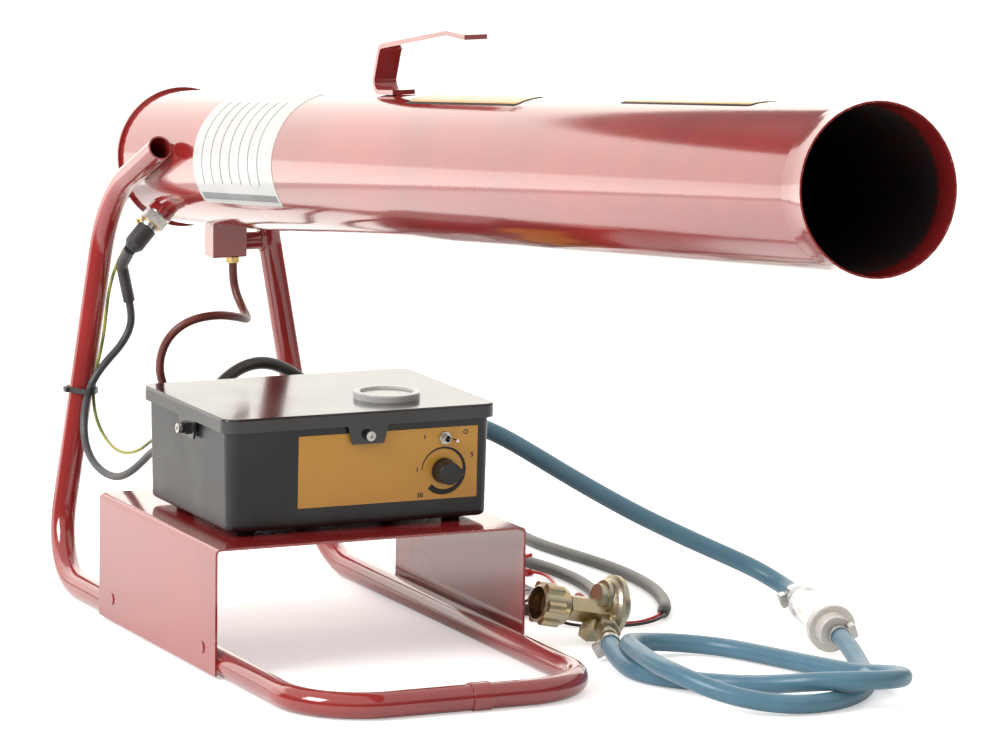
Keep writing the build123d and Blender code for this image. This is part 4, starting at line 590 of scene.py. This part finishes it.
def gland_stations():
    """Ribbed taper: a straight part on the gland, then a softer part round the lead's first bend."""
    stations = []
    for step in range(9):
        groove = 0.9 if step % 2 else 0.0
        stations.append((GLAND_FACE + Vector((0, step, 0)), Vector((0, 1, 0)), 8.6 - 0.12 * step - groove))
    for step in range(13):
        groove = 0.8 if step % 2 == 0 else 0.0
        stations.append(bend_station(step / 12, 7.7 - 0.10 * step - groove))
    return stations


def boot_stations():
    """Shrink boot over the sheath's end; it sinks as it narrows, so that it lies on the floor."""
    stations = []
    for along, radius in BOOT_PROFILE:
        sink = Vector((0, 0, radius - SHEATH_END.z)) * 0.4
        stations.append((SHEATH_END + SHEATH_ALONG * along + sink, SHEATH_ALONG, radius))
    return stations


lathe_piece("gland_relief", gland_stations(), soft_rubber)
lathe_piece("sheath_boot", boot_stations(), soft_rubber)


# ---------------------------------------------------------------- cords and hoses
def cord_curve(name, route, diameter, material):
    """Cord along listed control points in millimetres, as a smooth NURBS tube."""
    curve = bpy.data.curves.new(name, "CURVE")
    curve.dimensions = "3D"
    spline = curve.splines.new("NURBS")
    spline.points.add(len(route) - 1)
    for point, place in zip(spline.points, route):
        point.co = (*(coordinate * MM for coordinate in place), 1)
    spline.order_u = 3
    spline.use_endpoint_u = True
    spline.resolution_u = 8
    curve.bevel_depth = diameter / 2 * MM
    curve.bevel_resolution = 8
    curve.use_fill_caps = True
    piece = bpy.data.objects.new(name, curve)
    bpy.context.collection.objects.link(piece)
    piece.data.materials.append(material)
    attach(piece, ROOT)
    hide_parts(name.removesuffix("_curve"))
    return piece


ignition_route = [
    (-63.5, 626.5, 257),
    (-59.5, 630.3, 245),
    (-60, 632, 230),
    (-70, 630.5, 215),
    (-84, 627.5, 203),
    (-97, 626.5, 188),
    (-103.5, 627.5, 170),
    (-107, 625, 152),
    (-110, 615, 134),
    (-110.5, 597, 120),
    (-108, 573, 112),
    (-105, 546, 112),
    (-102, 522, 121),
    (-99, 502, 133.5),
    (-97.5, 485, 144.5),
    (-97, 469.5, 151),
    (-97, 451, 151),
]
earth_route = [
    (-59.8, 627.3, 313.8),
    (-63.2, 633.7, 305.3),
    (-69, 637, 293),
    (-75, 637, 279),
    (-79.5, 636, 263),
    (-82, 635.3, 245),
    (-84.5, 634.6, 225),
    (-88.5, 635, 206),
    (-92.5, 634.4, 189),
    (-95.5, 632.2, 172),
    (-96.5, 624, 155),
    (-97, 607, 143),
    (-98, 585, 136),
    (-99, 559, 133),
    (-98.5, 533, 136),
    (-97, 511, 143),
    (-95, 492.5, 153),
    (-93.5, 477, 160.5),
    (-93, 464, 163),
    (-93, 451.2, 163),
]
chamber_route = [
    (5, 549, 299),
    (5, 549, 288),
    (6, 546, 274),
    (8, 535, 261),
    (6, 517, 254),
    (-3, 497, 256),
    (-19, 481, 261.5),
    (-41, 471, 266),
    (-64.5, 470.5, 263.5),
    (-79, 476.5, 253.5),
    (-86.5, 483.5, 239),
    (-88, 490, 221.5),
    (-84, 493.5, 205),
    (-78.5, 488, 190.5),
    (-74.6, 473.5, 181),
    (-74, 451.8, 179),
]
battery_route = [
    (-46, 454, 188),
    (-46, 470, 188),
    (-39.6, 485.4, 191.3),
    (-28, 497, 199.5),
    (-12.5, 503, 208.5),
    (3.5, 505, 214.5),
    (20.5, 505, 215),
    (37, 504.5, 209),
    (53, 503.5, 198),
    (70, 503, 186),
    (88, 502.5, 173),
    (107, 502.5, 156.5),
    (126, 502.5, 135.5),
    (142, 502, 110),
    (156, 498.5, 83),
    (166, 488, 56),
    (172, 471, 31),
    (175, 446, 13),
    (178, 415, 6),
    (190, 381, 5.7),
    (215, 356, 5.6),
    (249, 350, 5.6),
    (278, 369, 5.6),
    (297, 402, 5.6),
    (306, 441, 5.6),
    (309, 486, 5.6),
    (306, 531, 5.6),
    (295, 579, 5.6),
    (275, 625, 5.6),
    (257, 668, 5.6),
    (256, 711, 5.6),
    (279, 746, 5.6),
    (320, 752, 5.6),
    (346, 722, 5.6),
    (348, 679, 5.6),
    (345, 635, 5.6),
    (350, 590, 5.6),
    (357, 545, 5.6),
    (362, 500, 5.6),
    (362, 455, 5.6),
    (357, 410, 5.6),
    (346, 368, 5.6),
    (333, 334, 5.6),
    (320, 312, 5.6),
]
box_hose_route = [
    (145.4, 407, 168.5),
    (164, 407, 168.5),
    (182, 403, 164.5),
    (202, 394, 154.5),
    (223, 381.5, 141),
    (246, 367, 125.5),
    (274, 349.5, 107.5),
    (306, 331, 88.5),
    (341, 312, 70.5),
    (368, 297, 57.5),
    (390.5, 279, 46.5),
    (402.8, 258.5, 37.6),
    (406.5, 236.6, 32.6),
    (403, 216, 31),
]
long_hose_route = [
    (385, 109, 21.8),
    (381.5, 88, 20),
    (376, 62, 15.5),
    (367, 29, 9),
    (354, -8, 8.2),
    (330, -44, 8.1),
    (297, -69, 8.2),
    (257, -76, 8.4),
    (222, -60, 11),
    (196, -34, 17),
    (181, 0, 24.5),
    (179, 38, 25),
    (184, 75, 25),
    (190.5, 108, 24),
    (200, 136, 21.5),
    (213.5, 157.5, 17.5),
    (235, 171, 13.5),
    (260.5, 173, 10.5),
    (284, 162.5, 8.8),
    (301, 143, 8.3),
    (312, 120, 8.2),
    (321.5, 96, 8.3),
    (334, 66, 8.2),
    (346, 38, 8.2),
    (357, 11, 9),
    (371, -16, 13),
    (367.5, -48, 18),
    (345, -72, 22.5),
    (312, -78, 25),
    (279, -63, 24),
    (255, -32, 17),
    (238, 5, 10.5),
    (216, 37, 8.2),
    (194, 63, 8.1),
    (184, 95, 8.2),
    (188, 127, 10),
    (193, 154.9, 14.4),
    (202, 176, 15),
]
red_wire_route = [
    (318.6, 312.8, 5.6),
    (312.8, 303.8, 5.2),
    (302.5, 297.2, 4),
    (289, 294, 2.2),
    (275, 296, 1.6),
    (264.5, 304.5, 1.6),
    (259.5, 319, 2.4),
    (259, 335, 8.5),
    (260, 349.5, 16.2),
    (262, 365.5, 16.2),
    (264, 380, 8.5),
    (267, 395, 2.2),
    (272, 415, 1.6),
    (279, 438, 1.6),
    (286, 461, 1.7),
    (291.5, 482, 2.4),
    (295, 500, 3.2),
    (293.5, 514.5, 3.7),
    (288.2, 521.7, 3.7),
]
black_wire_route = [
    (321.4, 311.2, 5.6),
    (316.5, 301.4, 5.2),
    (305.5, 291.4, 4),
    (289, 286.5, 2.2),
    (269, 287, 1.6),
    (248, 291, 1.6),
    (231.5, 302, 1.6),
    (222, 318, 2.4),
    (219.5, 333, 8.5),
    (219, 347.5, 16.2),
    (218, 363.5, 16.2),
    (214, 378, 8.5),
    (207.5, 392, 2.4),
    (198, 411, 1.6),
    (187.5, 431, 1.6),
    (179.5, 451, 1.8),
    (177.5, 469, 2.4),
    (184, 483.5, 3.2),
    (196, 485.5, 3.7),
    (205.7, 478.2, 3.7),
]


def declare_cord(name, route, diameter, material):
    """Cord's curve along its route; the CAD's own cord is hidden."""
    piece = cord_curve(name + "_curve", route, diameter, material)
    return piece


declare_cord("ignition_lead", ignition_route, 7.0, lead_sheath)
declare_cord("earth_wire", earth_route, 3.0, earth_insulation)
declare_cord("chamber_hose", chamber_route, 7.5, hose_maroon)
declare_cord("battery_lead", battery_route, 11.0, grey_sheath)
declare_cord(
    "hose_box_to_filter", box_hose_route, 16.0, blue_rubber,
)
declare_cord(
    "hose_filter_to_regulator", long_hose_route, 16.0, blue_rubber,
)
declare_cord(
    "red_wire", red_wire_route, 2.8, red_sheath,
)
declare_cord(
    "black_wire", black_wire_route, 2.8, black_sheath,
)


# ---------------------------------------------------------------- floor, lamps and camera
def flat_light(name, place, target, size, power, colour=(1, 1, 1)):
    """Rectangular lamp at a place, turned towards a target."""
    lamp = bpy.data.lights.new(name, "AREA")
    lamp.shape = "RECTANGLE"
    lamp.size, lamp.size_y = size
    lamp.energy = power
    lamp.color = colour
    holder = bpy.data.objects.new(name, lamp)
    holder.location = place
    holder.rotation_euler = (Vector(target) - Vector(place)).to_track_quat("-Z", "Y").to_euler()
    holder.visible_camera = False
    bpy.context.collection.objects.link(holder)


flat_light("key_left", (-2.7, -0.2, 2.0), (0, 0, 0.3), (1.4, 1.4), 70)
flat_light("rear_sheet", (0.2, 1.35, 0.56), (0.2, 0, 0.56), (3.4, 1.0), 17, WARM)


def studio_world():
    """White to the camera; to everything else a bright ceiling above a dim band."""
    world = bpy.data.worlds.new("studio")
    bpy.context.scene.world = world
    world.use_nodes = True
    sky = world.node_tree
    sky.nodes.clear()
    output = sky.nodes.new("ShaderNodeOutputWorld")
    seen = sky.nodes.new("ShaderNodeBackground")
    seen.inputs["Color"].default_value = (1, 1, 1, 1)
    seen.inputs["Strength"].default_value = 1.0
    felt = sky.nodes.new("ShaderNodeBackground")
    felt.inputs["Color"].default_value = (1.0, 0.96, 0.91, 1)
    facing = sky.nodes.new("ShaderNodeTexCoord")
    height = sky.nodes.new("ShaderNodeSeparateXYZ")
    sky.links.new(facing.outputs["Generated"], height.inputs["Vector"])
    ceiling = sky.nodes.new("ShaderNodeMapRange")
    ceiling.inputs["From Min"].default_value = CEILING_FROM
    ceiling.inputs["From Max"].default_value = CEILING_TO
    ceiling.inputs["To Min"].default_value = BAND_STRENGTH
    ceiling.inputs["To Max"].default_value = CEILING_STRENGTH
    sky.links.new(height.outputs["Z"], ceiling.inputs["Value"])
    sky.links.new(ceiling.outputs["Result"], felt.inputs["Strength"])
    choice = sky.nodes.new("ShaderNodeMixShader")
    rays = sky.nodes.new("ShaderNodeLightPath")
    sky.links.new(rays.outputs["Is Camera Ray"], choice.inputs["Fac"])
    sky.links.new(felt.outputs["Background"], choice.inputs[1])
    sky.links.new(seen.outputs["Background"], choice.inputs[2])
    sky.links.new(choice.outputs["Shader"], output.inputs["Surface"])


def paper_floor():
    """Floor that keeps the object's shadow; it glows for the camera, and less in reflections."""
    bpy.ops.mesh.primitive_plane_add(size=FLOOR_SIZE, location=(0, 0, -FLOOR_DROP))
    floor = bpy.context.object
    floor.name = "floor"
    paper, tree, shader = new_material("floor_paper")
    shader.inputs["Base Color"].default_value = (0.9, 0.9, 0.9, 1)
    shader.inputs["Roughness"].default_value = 0.8
    shader.inputs["Specular IOR Level"].default_value = 0.2
    shader.inputs["Emission Color"].default_value = (1, 1, 1, 1)
    rays = tree.nodes.new("ShaderNodeLightPath")
    direct = tree.nodes.new("ShaderNodeMath")
    direct.operation = "MAXIMUM"
    tree.links.new(rays.outputs["Is Camera Ray"], direct.inputs[0])
    tree.links.new(rays.outputs["Is Transmission Ray"], direct.inputs[1])
    seen = tree.nodes.new("ShaderNodeMath")
    seen.operation = "MULTIPLY_ADD"
    seen.inputs[1].default_value = REFLECTED_GLOW
    tree.links.new(rays.outputs["Is Glossy Ray"], seen.inputs[0])
    tree.links.new(direct.outputs[0], seen.inputs[2])
    glow = tree.nodes.new("ShaderNodeMath")
    glow.operation = "MULTIPLY"
    glow.inputs[1].default_value = FLOOR_GLOW
    tree.links.new(seen.outputs[0], glow.inputs[0])
    tree.links.new(glow.outputs[0], shader.inputs["Emission Strength"])
    floor.data.materials.append(paper)


def photo_camera():
    """Camera in the place, direction and roll that fit the photograph."""
    lens = bpy.data.cameras.new("camera")
    lens.lens = CAMERA_LENS
    lens.sensor_width = SENSOR_WIDTH
    lens.clip_end = CAMERA_REACH
    camera = bpy.data.objects.new("camera", lens)
    camera.matrix_world = (
        Matrix.Translation(CAMERA_PLACE)
        @ Matrix.Rotation(radians(CAMERA_AZIMUTH), 4, "Z")
        @ Matrix.Rotation(radians(90 - CAMERA_ELEVATION), 4, "X")
        @ Matrix.Rotation(radians(CAMERA_ROLL), 4, "Z")
    )
    bpy.context.collection.objects.link(camera)
    bpy.context.scene.camera = camera


studio_world()
paper_floor()
photo_camera()
bpy.context.scene.view_settings.view_transform = "Standard"
